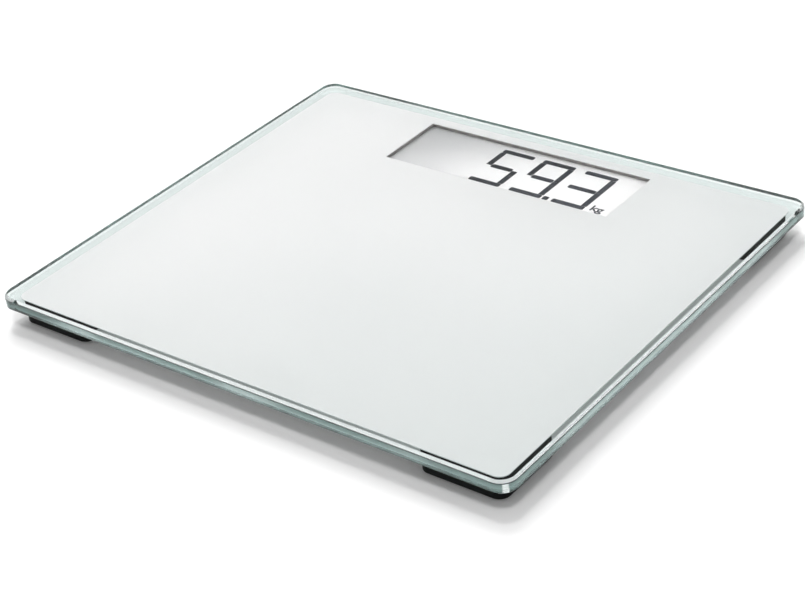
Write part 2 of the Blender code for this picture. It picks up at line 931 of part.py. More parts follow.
def back_route():
    """From a back cell, forward along the lane beside the housing and in at its end."""
    start_x = foot_x - cell_size / 2 - seat_gap
    lane_x = (foot_inner_x + housing_half_length) / 2
    lane_share, rise_share, turn_share = 0.5, 0.3, 0.25
    rise = board_middle - cell_middle
    entry_x = housing_half_length
    return [
        (start_x, foot_y, cell_middle),
        (foot_inner_x, foot_y, cell_middle),
        (foot_inner_x - lane_share * cable_lead, foot_y, cell_middle),
        (lane_x, foot_y - lane_share * cable_bend, cell_middle + rise_share * rise),
        (lane_x, foot_y - 2 * cable_bend, board_middle),
        (lane_x, board_y + cable_bend, board_middle),
        (lane_x - turn_share * cable_lead, board_y + turn_share * cable_bend, board_middle),
        (entry_x, board_y, board_middle),
        (board_length / 2 + seat_gap, board_y, board_middle),
    ]


def build_cables():
    for corner, (sign_x, sign_y) in CORNERS.items():
        build_cable(corner, front_route() if sign_y < 0 else back_route(), sign_x)


def build_channels():
    """Channels over the two long cables, open towards the glass."""
    half_inner = cable_radius + channel_room
    half_outer = half_inner + channel_wall
    inner_low = board_middle - cable_radius - seat_gap
    front_y = -foot_y + 2 * cable_bend
    back_y = housing_front_y - seat_gap
    for side, sign in (("left", -1), ("right", 1)):
        x = sign * cable_run_x
        channel = box_between(
            f"wire_cover_{side}",
            (x - half_outer, front_y, inner_low - channel_floor),
            (x + half_outer, back_y, frame_top),
        )
        groove = box_between(
            f"wire_cover_groove_{side}",
            (x - half_inner, front_y - cut_overrun, inner_low),
            (x + half_inner, back_y + cut_overrun, frame_top + cut_overrun),
        )
        dress(cut(channel, groove), WHITE_PLASTIC)


build_platform()
for corner_name, (side_sign, end_sign) in CORNERS.items():
    build_foot(corner_name, side_sign, end_sign)
build_display()
build_board()
build_housing()
build_cover()
build_screws()
build_battery()
build_door()
build_button()
build_cables()
build_channels()
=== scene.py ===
"""The looks of a glass bathroom scale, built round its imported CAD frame.

Metres, +Z up. The front edge runs along +X and the read-out stands towards +Y. Every piece is
made in the frame's own place, rides on one CAD body and stands for the CAD node it covers.
"""

import logging
import math
from dataclasses import dataclass
from enum import Enum

import bmesh
import bpy
from mathutils import Matrix, Vector


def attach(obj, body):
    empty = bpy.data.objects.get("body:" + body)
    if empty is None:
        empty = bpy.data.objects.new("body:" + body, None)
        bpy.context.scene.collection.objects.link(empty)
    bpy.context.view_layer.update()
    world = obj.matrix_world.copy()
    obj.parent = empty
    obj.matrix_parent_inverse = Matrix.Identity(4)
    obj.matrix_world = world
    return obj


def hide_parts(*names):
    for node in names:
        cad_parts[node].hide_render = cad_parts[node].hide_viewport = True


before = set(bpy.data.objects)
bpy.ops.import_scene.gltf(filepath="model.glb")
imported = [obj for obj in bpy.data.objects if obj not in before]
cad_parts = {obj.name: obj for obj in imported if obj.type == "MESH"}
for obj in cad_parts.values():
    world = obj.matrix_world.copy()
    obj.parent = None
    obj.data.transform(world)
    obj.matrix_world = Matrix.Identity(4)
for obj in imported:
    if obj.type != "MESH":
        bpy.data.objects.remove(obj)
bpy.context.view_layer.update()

LOG = logging.getLogger("bathroom_scale")

Socket = bpy.types.NodeSocket
Node = bpy.types.Node
NodeTree = bpy.types.NodeTree
Material = bpy.types.Material
Object = bpy.types.Object
Colour = tuple[float, float, float]
Point = tuple[float, float]
Stops = tuple[tuple[float, Colour], ...]
MM = 0.001
WELD = 0.001 * MM
CORNERS = ("front_left", "front_right", "back_left", "back_right")
SIDES = ("left", "right")
WHITE = (1.0, 1.0, 1.0)
NEVER_YET = 0.5  # a ray depth below this is 0

SOCKET_KINDS = {
    "NodeSocketVector": ("Place", "Centre", "Start", "Pitch", "Size"),
    "NodeSocketColor": ("Colour",),
    "NodeSocketInt": ("Columns", "Rows", "Sides", "Count"),
    "NodeSocketMaterial": ("Finish",),
    "NodeSocketGeometry": ("Geometry",),
}


class Body(Enum):
    """The CAD bodies that a piece can ride on, apart from the feet's own."""

    PLATFORM = "platform"
    HATCH = "battery_hatch"
    KEY = "unit_key"


class Effect(Enum):
    """The shader effects that more than one material uses."""

    MOTTLE = "surface_mottle"
    GRAIN = "moulded_grain"
    ROLLED = "rolled_lines"
    DUST = "settled_dust"


class Rounding(Enum):
    """How far a piece's edges are rounded, and in how many faces."""

    FOIL = (0.04 * MM, 1)
    SHEET = (0.05 * MM, 1)
    SMALL = (0.06 * MM, 1)
    BOARD = (0.08 * MM, 1)
    SQUARE = (0.10 * MM, 1)
    SWITCH = (0.12 * MM, 2)
    STAMPED = (0.15 * MM, 2)
    KEY = (0.18 * MM, 2)
    MOULDED = (0.20 * MM, 2)
    CUP = (0.25 * MM, 2)
    COVER = (0.30 * MM, 2)


def rgba(colour: Colour) -> tuple[float, float, float, float]:
    """Returns a colour with full alpha."""
    return (*colour, 1.0)


def add_sockets(tree: NodeTree, in_out: str, names: tuple[str, ...]) -> None:
    """Gives a node group its named sockets, whose kind goes by the name.

    Args:
        tree: The group.
        in_out: INPUT or OUTPUT.
        names: The sockets' names in order.
    """
    for name in names:
        kinds = [kind for kind, members in SOCKET_KINDS.items() if name in members]
        kind = kinds[0] if kinds else "NodeSocketFloat"
        tree.interface.new_socket(name, in_out=in_out, socket_type=kind)


class NodeSheet:
    """A node tree with short calls to add, set and join its nodes."""

    def __init__(self, tree: NodeTree) -> None:
        """Takes the tree to work on."""
        self.tree = tree

    def add(self, kind: str, settings: dict | None = None, **values: object) -> Node:
        """Adds one node.

        Args:
            kind: The node's type, as bpy names it.
            settings: Attributes of the node itself, such as its operation.
            **values: Socket values or sources, by the socket's name with _ for a space.

        Returns:
            The new node.
        """
        node = self.tree.nodes.new(kind)
        for name, value in (settings or {}).items():
            setattr(node, name, value)
        for name, value in values.items():
            self.feed(node, name.replace("_", " "), value)
        return node

    def feed(self, node: Node, name: str | int, value: object) -> None:
        """Sets an input, or joins another node's output to it.

        Args:
            node: The node that has the input.
            name: The input's name or its place in the list.
            value: A plain value, or the output socket that feeds it.
        """
        if isinstance(value, Socket):
            self.tree.links.new(value, node.inputs[name])
        else:
            node.inputs[name].default_value = value

    def listed(self, kind: str, settings: dict, *values: object) -> Node:
        """Adds a node whose inputs are given by their place in the list.

        Args:
            kind: The node's type.
            settings: Attributes of the node itself.
            *values: Its inputs in order, with None for one that is left as it is.

        Returns:
            The new node.
        """
        node = self.add(kind, settings)
        for place, value in enumerate(values):
            if value is not None:
                self.feed(node, place, value)
        return node

    def maths(self, operation: str, *values: object) -> Socket:
        """Returns the result of a Math node."""
        return self.listed("ShaderNodeMath", {"operation": operation}, *values).outputs[0]

    def dot(self, place: object, direction: Colour) -> Socket:
        """Returns how far a place lies along a direction."""
        settings = {"operation": "DOT_PRODUCT"}
        return self.listed("ShaderNodeVectorMath", settings, place, direction).outputs["Value"]

    def split(self, vector: Socket) -> list[Socket]:
        """Returns a vector's three parts."""
        return list(self.listed("ShaderNodeSeparateXYZ", {}, vector).outputs)

    def noise(self, place: object, scale: object, detail: float = 2.0) -> Socket:
        """Returns a soft noise from 0 to 1."""
        return self.add("ShaderNodeTexNoise", Vector=place, Scale=scale, Detail=detail).outputs[0]

    def blend(self, factor: object, first: object, second: object, way: str = "MIX") -> Socket:
        """Mixes two colours.

        Args:
            factor: How much of the second there is.
            first: The colour at factor 0.
            second: The colour at factor 1.
            way: The blend type.

        Returns:
            The mixed colour.
        """
        node = self.add("ShaderNodeMix", {"data_type": "RGBA", "blend_type": way}, Factor=factor)
        places = [place for place, socket in enumerate(node.inputs) if socket.type == "RGBA"]
        for place, value in zip(places, (first, second)):
            self.feed(node, place, value)
        return next(s for s in node.outputs if s.type == "RGBA")

    def choose(self, test: object, off: object, on: object) -> Socket:
        """Returns one of two values."""
        return self.listed("ShaderNodeMix", {"data_type": "FLOAT"}, test, None, off, on).outputs[0]

    def step(self, value: object, span: Point, levels: Point = (0.0, 1.0)) -> Socket:
        """Turns a value into a soft step between two levels.

        Args:
            value: What is looked up.
            span: Where the step starts and ends.
            levels: The levels before and after it.

        Returns:
            The level.
        """
        ramp = self.add("ShaderNodeMapRange", {"interpolation_type": "SMOOTHSTEP"}, Value=value)
        for name, given in zip(("From Min", "From Max", "To Min", "To Max"), (*span, *levels)):
            self.feed(ramp, name, given)
        return ramp.outputs[0]

    def ramp(self, factor: object, stops: Stops) -> Socket:
        """Looks up a colour in a ramp.

        Args:
            factor: The value that is looked up.
            stops: Places from 0 to 1 with their colours.

        Returns:
            The looked-up colour.
        """
        node = self.add("ShaderNodeValToRGB")
        self.feed(node, 0, factor)
        points = node.color_ramp.elements
        while len(points) < len(stops):
            points.new(0.5)
        for point, (place, colour) in zip(points, stops):
            point.position = place
            point.color = rgba(colour)
        return node.outputs["Color"]

    def slope(self, place: object, start: Point, end: Point) -> Socket:
        """Tells how far a place lies from one point towards another, seen from above.

        Args:
            place: The place.
            start: Where the result is 0.
            end: Where it is 1.

        Returns:
            The share, below 0 before the start and above 1 past the end.
        """
        across = Vector(end) - Vector(start)
        direction = across / across.length_squared
        along = self.dot(place, (direction.x, direction.y, 0.0))
        return self.maths("ADD", along, -Vector(start).dot(direction))

    def ray(self, name: str) -> Socket:
        """Returns what is known of the light's path."""
        return self.add("ShaderNodeLightPath").outputs[name]

    def within(self) -> Socket:
        """Returns 1 on faces that are seen from behind, or else 0."""
        return self.add("ShaderNodeNewGeometry").outputs["Backfacing"]


class EffectShelf:
    """Holds each shared shader effect as one node group, built when it is first asked for."""

    noise_middle = 0.5
    broad_detail = 4.0
    grain_detail = 3.0
    line_detail = 6.0
    line_stretch = (0.03, 1.0, 1.0)
    speck_reach = 0.12
    patch_scale = 90.0

    def __init__(self) -> None:
        """Lists every effect's inputs, outputs and builder, and starts with no group."""
        self.groups: dict[Effect, NodeTree] = {}
        mottled = ("Place", "Colour", "Scale", "Amount", "Roughness", "Spread")
        self.recipes = {
            Effect.MOTTLE: (mottled, ("Colour", "Roughness"), self.mottle),
            Effect.GRAIN: (("Place", "Scale", "Depth"), ("Height",), self.grain),
            Effect.ROLLED: (("Place", "Scale", "Depth"), ("Height", "Mask"), self.rolled),
            Effect.DUST: (("Place", "Scale", "Cover"), ("Mask",), self.dust),
        }

    def place(self, sheet: NodeSheet, effect: Effect, **values: object) -> dict[str, Socket]:
        """Puts an effect in a material.

        Args:
            sheet: The material's tree.
            effect: Which effect.
            **values: Its inputs by name.

        Returns:
            The effect's outputs by name.
        """
        if effect not in self.groups:
            self.groups[effect] = self.build(effect)
        node = sheet.add("ShaderNodeGroup", {"node_tree": self.groups[effect]}, **values)
        return dict(node.outputs.items())

    def build(self, effect: Effect) -> NodeTree:
        """Makes an effect's group.

        Args:
            effect: Which effect.

        Returns:
            The group.
        """
        inputs, outputs, builder = self.recipes[effect]
        tree = bpy.data.node_groups.new(effect.value, "ShaderNodeTree")
        add_sockets(tree, "INPUT", inputs)
        add_sockets(tree, "OUTPUT", outputs)
        sheet = NodeSheet(tree)
        source = sheet.add("NodeGroupInput").outputs
        sheet.listed("NodeGroupOutput", {}, *builder(sheet, source))
        return tree

    def mottle(self, sheet: NodeSheet, source: dict[str, Socket]) -> list[Socket]:
        """Varies a colour and a roughness softly over a surface.

        Args:
            sheet: The group's tree.
            source: Its inputs.

        Returns:
            The colour and the roughness.
        """
        noise = sheet.noise(source["Place"], source["Scale"], self.broad_detail)
        swing = sheet.maths("SUBTRACT", noise, self.noise_middle)
        tone = sheet.maths("MULTIPLY_ADD", swing, source["Amount"], 1.0)
        scaled = sheet.add("ShaderNodeVectorMath", {"operation": "SCALE"}, Scale=tone)
        sheet.feed(scaled, 0, source["Colour"])
        rough = sheet.maths("MULTIPLY_ADD", swing, source["Spread"], source["Roughness"])
        return [scaled.outputs[0], rough]

    def grain(self, sheet: NodeSheet, source: dict[str, Socket]) -> list[Socket]:
        """Gives the fine grain of a moulded part.

        Args:
            sheet: The group's tree.
            source: Its inputs.

        Returns:
            The height.
        """
        place, scale = source["Place"], source["Scale"]
        pits = sheet.add("ShaderNodeTexVoronoi", {"feature": "SMOOTH_F1"}, Vector=place, Scale=scale)
        waves = sheet.noise(place, scale, self.grain_detail)
        both = sheet.maths("ADD", pits.outputs["Distance"], waves)
        return [sheet.maths("MULTIPLY", both, source["Depth"])]

    def rolled(self, sheet: NodeSheet, source: dict[str, Socket]) -> list[Socket]:
        """Gives sheet metal its rolling lines along X.

        Args:
            sheet: The group's tree.
            source: Its inputs.

        Returns:
            The height, and the lines as a mask.
        """
        stretch = sheet.add("ShaderNodeMapping", Vector=source["Place"], Scale=self.line_stretch)
        lines = sheet.noise(stretch.outputs[0], source["Scale"], self.line_detail)
        return [sheet.maths("MULTIPLY", lines, source["Depth"]), lines]

    def dust(self, sheet: NodeSheet, source: dict[str, Socket]) -> list[Socket]:
        """Gives a sparse mask of fine specks.

        Args:
            sheet: The group's tree.
            source: Its inputs.

        Returns:
            The mask.
        """
        cells = sheet.add("ShaderNodeTexVoronoi", Vector=source["Place"], Scale=source["Scale"])
        speck = sheet.maths("LESS_THAN", cells.outputs["Distance"], self.speck_reach)
        patch = sheet.noise(source["Place"], self.patch_scale)
        return [sheet.maths("MULTIPLY", speck, sheet.maths("LESS_THAN", patch, source["Cover"]))]


SHELF = EffectShelf()


@dataclass(frozen=True)
class Mottle:
    """A soft change over a surface: its scale, and how far the tone and the roughness go."""

    scale: float = 60.0
    amount: float = 0.06
    spread: float = 0.12


@dataclass(frozen=True)
class Grain:
    """A fine grain: its scale and depth, and the strength and height of its bump."""

    scale: float = 2600.0
    depth: float = 0.25
    strength: float = 0.35
    height: float = 0.1 * MM


class Paint(NodeSheet):
    """A material's tree, with its Principled shader and its place in metres of the frame."""

    def __init__(self, material: Material) -> None:
        """Takes a material.

        Args:
            material: The material, which uses nodes.
        """
        super().__init__(material.node_tree)
        self.shader = material.node_tree.nodes["Principled BSDF"]
        self.place = self.add("ShaderNodeTexCoord").outputs["Object"]

    def put(self, **values: object) -> None:
        """Sets or joins inputs of the shader."""
        for name, value in values.items():
            self.feed(self.shader, name.replace("_", " "), value)

    def effect(self, effect: Effect, **values: object) -> dict[str, Socket]:
        """Returns the outputs of a shared effect."""
        return SHELF.place(self, effect, Place=self.place, **values)

    def mottled(self, colour: object, roughness: float, mottle: Mottle) -> dict[str, Socket]:
        """Gives the shader a softly varied colour and roughness.

        Args:
            colour: The colour.
            roughness: The roughness.
            mottle: How they vary.

        Returns:
            The varied colour and roughness.
        """
        given = {"Scale": mottle.scale, "Amount": mottle.amount, "Spread": mottle.spread}
        tone = self.effect(Effect.MOTTLE, Colour=colour, Roughness=roughness, **given)
        self.put(Base_Color=tone["Colour"], Roughness=tone["Roughness"])
        return tone

    def bumped(self, height: Socket, strength: float, distance: float) -> None:
        """Gives the shader a bump."""
        bump = self.add("ShaderNodeBump", Strength=strength, Distance=distance, Height=height)
        self.put(Normal=bump.outputs[0])

    def grained(self, grain: Grain) -> None:
        """Gives the shader a fine grain."""
        height = self.effect(Effect.GRAIN, Scale=grain.scale, Depth=grain.depth)["Height"]
        self.bumped(height, grain.strength, grain.height)


class Finish:
    """What a piece is made of."""

    def material(self, name: str) -> Material:
        """Makes the finish's material.

        Args:
            name: The material's name.

        Returns:
            The material.
        """
        material = bpy.data.materials.new(name)
        material.use_nodes = True
        self.dress(Paint(material))
        return material

    def dress(self, paint: Paint) -> None:
        """Sets up the shader."""
        raise NotImplementedError


@dataclass(frozen=True)
class GrainedSurface(Finish):
    """A mottled surface with a fine grain: moulded plastic, rubber, or the ground edge of the glass, whose
    near-black colour there is painted shade.
    """

    colour: Colour
    roughness: float = 0.45
    mottle: Mottle = Mottle()
    grain: Grain = Grain()
    specular: float = 0.5
    dust: float = 0.0
    dust_scale: float = 900.0
    dust_share: float = 0.5

    def dress(self, paint: Paint) -> None:
        """Sets up the shader.

        Args:
            paint: The material's tree.
        """
        tone = paint.mottled(rgba(self.colour), self.roughness, self.mottle)
        if self.dust:
            specks = paint.effect(Effect.DUST, Scale=self.dust_scale, Cover=self.dust)
            pale = tuple(self.dust_share + (1.0 - self.dust_share) * part for part in self.colour)
            paint.put(Base_Color=paint.blend(specks["Mask"], tone["Colour"], rgba(pale)))
        paint.put(Specular_IOR_Level=self.specular)
        paint.grained(self.grain)


@dataclass(frozen=True)
class SheetMetal(Finish):
    """Plated or brushed sheet metal with its rolling lines."""

    colour: Colour = (0.62, 0.63, 0.64)
    roughness: float = 0.28
    mottle: Mottle = Mottle(120.0, 0.18, 0.14)
    lines: Grain = Grain(1500.0, 0.3, 0.3, 0.05 * MM)
    line_roughness: float = 0.12

    def dress(self, paint: Paint) -> None:
        """Sets up the shader.

        Args:
            paint: The material's tree.
        """
        lines = paint.effect(Effect.ROLLED, Scale=self.lines.scale, Depth=self.lines.depth)
        tone = paint.mottled(rgba(self.colour), self.roughness, self.mottle)
        rough = paint.maths("MULTIPLY_ADD", lines["Mask"], self.line_roughness, tone["Roughness"])
        paint.put(Metallic=1.0, Roughness=rough)
        paint.bumped(lines["Height"], self.lines.strength, self.lines.height)


@dataclass(frozen=True)
class ClearGlass(Finish):
    """Toughened glass: its tint from without, from within, to light from below, and a darker tint, painted
    shade, for light turned back inside it.
    """

    tint: Colour = WHITE
    inner: Colour | None = None
    shade: Colour | None = None
    roughness: float = 0.0
    refraction: float = 1.52
    scatter: float = 0.0
    turned: Colour | None = None

    def tone(self, paint: Paint) -> object:
        """Returns the tint from without, as a colour or its socket."""
        return rgba(self.tint)

    def polish(self, paint: Paint) -> object:
        """Gives the roughness, as a number or its socket.

        Args:
            paint: The material's tree.

        Returns:
            The roughness.
        """
        if not self.scatter:
            return self.roughness
        return paint.maths("MULTIPLY", self.was_turned(paint), self.scatter)

    def was_turned(self, paint: Paint) -> Socket:
        """Returns 1 for light that was turned back inside the glass before, or else 0."""
        return paint.maths("GREATER_THAN", paint.ray("Glossy Depth"), NEVER_YET)

    def reach(self, paint: Paint) -> Socket:
        """Returns how far out a place is, along both sides together, which is most at a corner."""
        across, along, _ = paint.split(paint.place)
        return paint.maths("ADD", paint.maths("ABSOLUTE", across), paint.maths("ABSOLUTE", along))

    def dress(self, paint: Paint) -> None:
        """Sets up the shader.

        Args:
            paint: The material's tree.
        """
        tone = self.tone(paint)
        within = paint.within()
        if self.shade:
            without = paint.maths("SUBTRACT", 1.0, within)
            below = paint.maths("MULTIPLY", paint.ray("Is Diffuse Ray"), without)
            tone = paint.blend(below, tone, rgba(self.shade))
        if self.inner:
            tone = paint.blend(within, tone, rgba(self.inner))
        # Painted shade: light turned back inside the glass takes a dark tint, which darkens the line along
        # the far edges.
        if self.turned:
            tone = paint.blend(self.was_turned(paint), tone, rgba(self.turned))
        paint.put(Base_Color=tone, Roughness=self.polish(paint))
        paint.put(IOR=self.refraction, Transmission_Weight=1.0)


@dataclass(frozen=True)
class ArrisGlass(ClearGlass):
    """The ground arris, less polished round the corners."""

    corner_span: Point = (0.3035, 0.3052)
    corner_roughness: float = 0.85

    def polish(self, paint: Paint) -> object:
        """Returns the roughness by nearness to a corner."""
        turn = paint.step(self.reach(paint), self.corner_span)
        return paint.maths("MULTIPLY_ADD", turn, self.corner_roughness - self.roughness, self.roughness)


@dataclass(frozen=True)
class EdgeGlass(ClearGlass):
    """The polished side face, with painted light and shade: darker at its arrises, paler by noise and on
    the right, darker behind the feet and with a painted highlight at the corners.
    """

    # Painted shade: the tint by height, darkest at the arrises, in a shaded version and a pale lit
    # version.
    shaded_bands: Stops = (
        (0.02, (0.010, 0.019, 0.018)),
        (0.18, (0.052, 0.100, 0.092)),
        (0.36, (0.125, 0.215, 0.203)),
        (0.56, (0.056, 0.112, 0.104)),
        (0.98, (0.022, 0.048, 0.044)),
    )
    pale: Stops = (
        (0.02, (0.032, 0.055, 0.052)),
        (0.20, (0.170, 0.260, 0.250)),
        (0.50, (0.280, 0.390, 0.380)),
        (0.78, (0.210, 0.310, 0.300)),
        (0.98, (0.110, 0.180, 0.172)),
    )
    heights: Point = (0.01275, 0.01825)
    drift_scale: float = 11.0
    drift_detail: float = 1.5
    drift_span: Point = (0.46, 0.62)
    lit_side: Point = (0.12, 0.165)
    lit_lean: float = 0.15
    # Painted highlight round the corners, and painted shade where the feet stand behind the side face.
    corner_span: Point = (0.30945, 0.30968)
    corner_highlight_colour: Colour = (0.90, 0.97, 0.96)
    foot_span: Point = (0.258, 0.285)
    foot_colour: Colour = (0.20, 0.28, 0.265)

    def tone(self, paint: Paint) -> object:
        """Gives the tint with its painted shade and light: by height and place along the side, darker near
        a foot and with a painted highlight at a corner.

        Args:
            paint: The material's tree.

        Returns:
            The socket that gives the colour.
        """
        across, _, up = paint.split(paint.place)
        height = paint.step(up, self.heights)
        drift = paint.noise(paint.place, self.drift_scale, self.drift_detail)
        lit = paint.maths("MULTIPLY", paint.step(across, self.lit_side), self.lit_lean)
        lean = paint.step(paint.maths("ADD", drift, lit), self.drift_span)
        tone = paint.blend(lean, paint.ramp(height, self.shaded_bands), paint.ramp(height, self.pale))
        reach = self.reach(paint)
        # Painted shade near the feet, then the painted highlight at the corners.
        behind = paint.step(reach, self.foot_span)
        tone = paint.blend(behind, tone, rgba(self.foot_colour), "MULTIPLY")
        return paint.blend(paint.step(reach, self.corner_span), tone, rgba(self.corner_highlight_colour))


@dataclass(frozen=True)
class SlopedTone(Finish):
    """A print or film whose tone runs through some colours across the plate, which on the enamel, the LCD
    film and its ink is painted light and shade.
    """

    tones: Stops
    start: Point
    end: Point
    roughness: float = 0.3
    mottle: Mottle | None = Mottle(300.0, 0.02, 0.05)
    cloud: float = 0.0
    cloud_scale: float = 6.0
    cloud_detail: float = 1.0
    grain: Grain | None = None

    def dress(self, paint: Paint) -> None:
        """Sets up the shader.

        Args:
            paint: The material's tree.
        """
        share = paint.slope(paint.place, self.start, self.end)
        if self.cloud:
            noise = paint.noise(paint.place, self.cloud_scale, self.cloud_detail)
            drift = paint.maths("MULTIPLY_ADD", noise, self.cloud, -self.cloud / 2)
            share = paint.maths("ADD", share, drift)
        tone = paint.ramp(share, self.tones)
        if self.mottle:
            paint.mottled(tone, self.roughness, self.mottle)
        else:
            paint.put(Base_Color=tone, Roughness=self.roughness)
        if self.grain:
            paint.grained(self.grain)


@dataclass(frozen=True)
class StripedFilm(Finish):
    """A film with fine printed lines."""

    tones: Stops
    line_scale: float
    roughness: float

    def dress(self, paint: Paint) -> None:
        """Sets up the shader.

        Args:
            paint: The material's tree.
        """
        settings = {"bands_direction": "X"}
        lines = paint.add("ShaderNodeTexWave", settings, Vector=paint.place, Scale=self.line_scale)
        paint.put(Base_Color=paint.ramp(lines.outputs[0], self.tones), Roughness=self.roughness)


@dataclass(frozen=True)
class SolderMask(Finish):
    """The green lacquer, with the tracks that show through it."""

    lacquer: Colour = (0.012, 0.105, 0.045)
    track: Colour = (0.03, 0.2, 0.09)
    track_scale: float = 220.0
    track_width: float = 0.09
    roughness: float = 0.32
    mottle: Mottle = Mottle(80.0, 0.1, 0.1)
    relief: float = 0.3
    relief_height: float = 0.04 * MM

    def dress(self, paint: Paint) -> None:
        """Sets up the shader.

        Args:
            paint: The material's tree.
        """
        settings = {"feature": "DISTANCE_TO_EDGE"}
        cells = paint.add("ShaderNodeTexVoronoi", settings, Vector=paint.place, Scale=self.track_scale)
        edge = paint.maths("LESS_THAN", cells.outputs["Distance"], self.track_width)
        tone = paint.blend(edge, rgba(self.lacquer), rgba(self.track))
        paint.mottled(tone, self.roughness, self.mottle)
        paint.bumped(edge, self.relief, self.relief_height)


@dataclass(frozen=True)
class StudioFloor(Finish):
    """A pale floor that shows as white, keeps its shadow, and is clear when seen from below."""

    colour: Colour = (0.88, 0.88, 0.88)
    roughness: float = 0.9
    lift: float = 0.05
    glass_lift: float = 0.21
    under_lift: float = 0.70

    def dress(self, paint: Paint) -> None:
        """Sets up the shader.

        Args:
            paint: The material's tree.
        """
        direct = paint.maths("ADD", paint.ray("Is Camera Ray"), paint.ray("Is Glossy Ray"))
        direct = paint.maths("MULTIPLY", paint.maths("MINIMUM", direct, 1.0), self.lift)
        through = paint.maths("MULTIPLY", paint.ray("Is Transmission Ray"), self.lift + self.glass_lift)
        first = paint.maths("LESS_THAN", paint.ray("Diffuse Depth"), NEVER_YET)
        lit = paint.maths("MULTIPLY", paint.maths("MAXIMUM", direct, through), first)
        second = paint.maths("COMPARE", paint.ray("Diffuse Depth"), 1.0, NEVER_YET)
        under = paint.maths("MULTIPLY", second, paint.ray("Is Diffuse Ray"))
        lit = paint.maths("MULTIPLY_ADD", under, self.under_lift, lit)
        paint.put(Base_Color=rgba(self.colour), Roughness=self.roughness, Specular_IOR_Level=0.0)
        paint.put(Emission_Color=rgba(WHITE), Emission_Strength=lit)
        paint.put(Alpha=paint.maths("SUBTRACT", 1.0, paint.within()))


class Palette:
    """Makes each finish's material once, when it is first asked for."""

    def __init__(self, finishes: dict[str, Finish]) -> None:
        """Takes the finishes."""
        self.finishes = finishes
        self.made: dict[str, Material] = {}

    def get(self, name: str) -> Material:
        """Makes or finds a material.

        Args:
            name: Its name.

        Returns:
            The material.
        """
        if name not in self.made:
            self.made[name] = self.finishes[name].material(name)
        return self.made[name]


DIM = (0.01, 0.011, 0.011)
COOL_BLACK = (0.012, 0.012, 0.013)
# Painted light and shade: the enamel is paler towards the back-left and darker and cooler towards the
# front-right; the cloud varies it at random. Its back, seen from below, uses the same.
SHADED_ENAMEL = SlopedTone(
    ((0.0, (0.944, 0.947, 0.947)), (1.0, (0.785, 0.812, 0.808))),
    (-0.130, 0.093),
    (0.146, -0.104),
    roughness=0.5,
    mottle=None,
    cloud=0.5,
    grain=Grain(4000.0, 0.1, 0.1, 0.02 * MM),
)
# Painted light: the LCD film runs from grey at the left to white at the right.
LIT_FILM_TONES = (
    (0.05, (0.64, 0.65, 0.655)),
    (0.20, (0.74, 0.745, 0.75)),
    (0.36, (0.88, 0.883, 0.886)),
    (0.75, (0.96, 0.96, 0.96)),
)
PALETTE = Palette(
    {
        "studio_floor": StudioFloor(),
        "clear_glass": ClearGlass(),
        # The border's turned tint is painted shade for the dark line along the far edges.
        "border_glass": ClearGlass((0.48, 0.58, 0.565), shade=DIM, scatter=0.8, turned=(0.11, 0.21, 0.19)),
        "edge_glass": EdgeGlass(inner=(0.45, 0.58, 0.56), shade=DIM, roughness=0.02),
        # Painted shade: the lower arris is near black from without, for the dark line along the bottom of
        # the side face, and pale from within.
        "shaded_bevel_glass": ClearGlass((0.02, 0.032, 0.03), (0.80, 0.90, 0.88), DIM),
        "arris_glass": ArrisGlass((0.97, 1.0, 1.0), roughness=0.10),
        # Painted shade: the ground line along the top of the side face is near black, for the dark line
        # along the top edge.
        "shaded_ground_edge": GrainedSurface(
            (0.022, 0.040, 0.037), 0.5, Mottle(12.0, 0.6, 0.1), Grain(3000.0, 0.2, 0.1, 0.03 * MM)
        ),
        "fused_enamel": SHADED_ENAMEL,
        "enamel_back": SHADED_ENAMEL,
        "lit_lcd_film": SlopedTone(LIT_FILM_TONES, (-0.070, 0.122), (0.070, 0.074)),
        # Painted light: the ink is lighter towards the right.
        "lcd_ink": SlopedTone(
            ((0.0, (0.018, 0.022, 0.028)), (1.0, (0.055, 0.062, 0.078))),
            (-0.02, 0.13),
            (0.065, 0.085),
            roughness=0.5,
        ),
        "reflector_film": SlopedTone(
            ((0.0, (0.66, 0.67, 0.66)), (1.0, (0.8, 0.81, 0.8))), (-0.08, 0.1), (0.08, 0.1)
        ),
        "frame_plastic": GrainedSurface((0.23, 0.215, 0.21), 0.5),
        "white_plastic": GrainedSurface((0.76, 0.77, 0.76), 0.42),
        "grey_plastic": GrainedSurface((0.27, 0.28, 0.28), 0.42),
        "black_plastic": GrainedSurface((0.004, 0.0045, 0.0045), specular=0.07),
        "black_foam": GrainedSurface((0.0015, 0.0015, 0.0015), 0.9, grain=Grain(3500.0), specular=0.02),
        "black_rubber": GrainedSurface((0.018, 0.018, 0.018), 0.72, specular=0.3, dust=0.5),
        "holder_plastic": GrainedSurface((0.012, 0.012, 0.012)),
        "switch_plastic": GrainedSurface(COOL_BLACK, 0.4),
        "chip_resin": GrainedSurface(COOL_BLACK, 0.3, grain=Grain(depth=0.1)),
        "plated_steel": SheetMetal(),
        "tinned_pins": SheetMetal((0.7, 0.7, 0.68), 0.25),
        "gauge_foil": StripedFilm(((0.45, (0.5, 0.26, 0.08)), (0.55, (0.75, 0.5, 0.3))), 900.0, 0.35),
        "ribbon_film": StripedFilm(((0.42, (0.42, 0.22, 0.06)), (0.56, (0.06, 0.045, 0.03))), 620.0, 0.3),
        "solder_mask": SolderMask(),
        "core_red": GrainedSurface((0.5, 0.02, 0.02), 0.4, grain=Grain(depth=0.05)),
        "core_white": GrainedSurface((0.78, 0.78, 0.76), 0.4, grain=Grain(depth=0.05)),
        "core_black": GrainedSurface((0.015, 0.015, 0.016), 0.4, grain=Grain(depth=0.05)),
    }
)


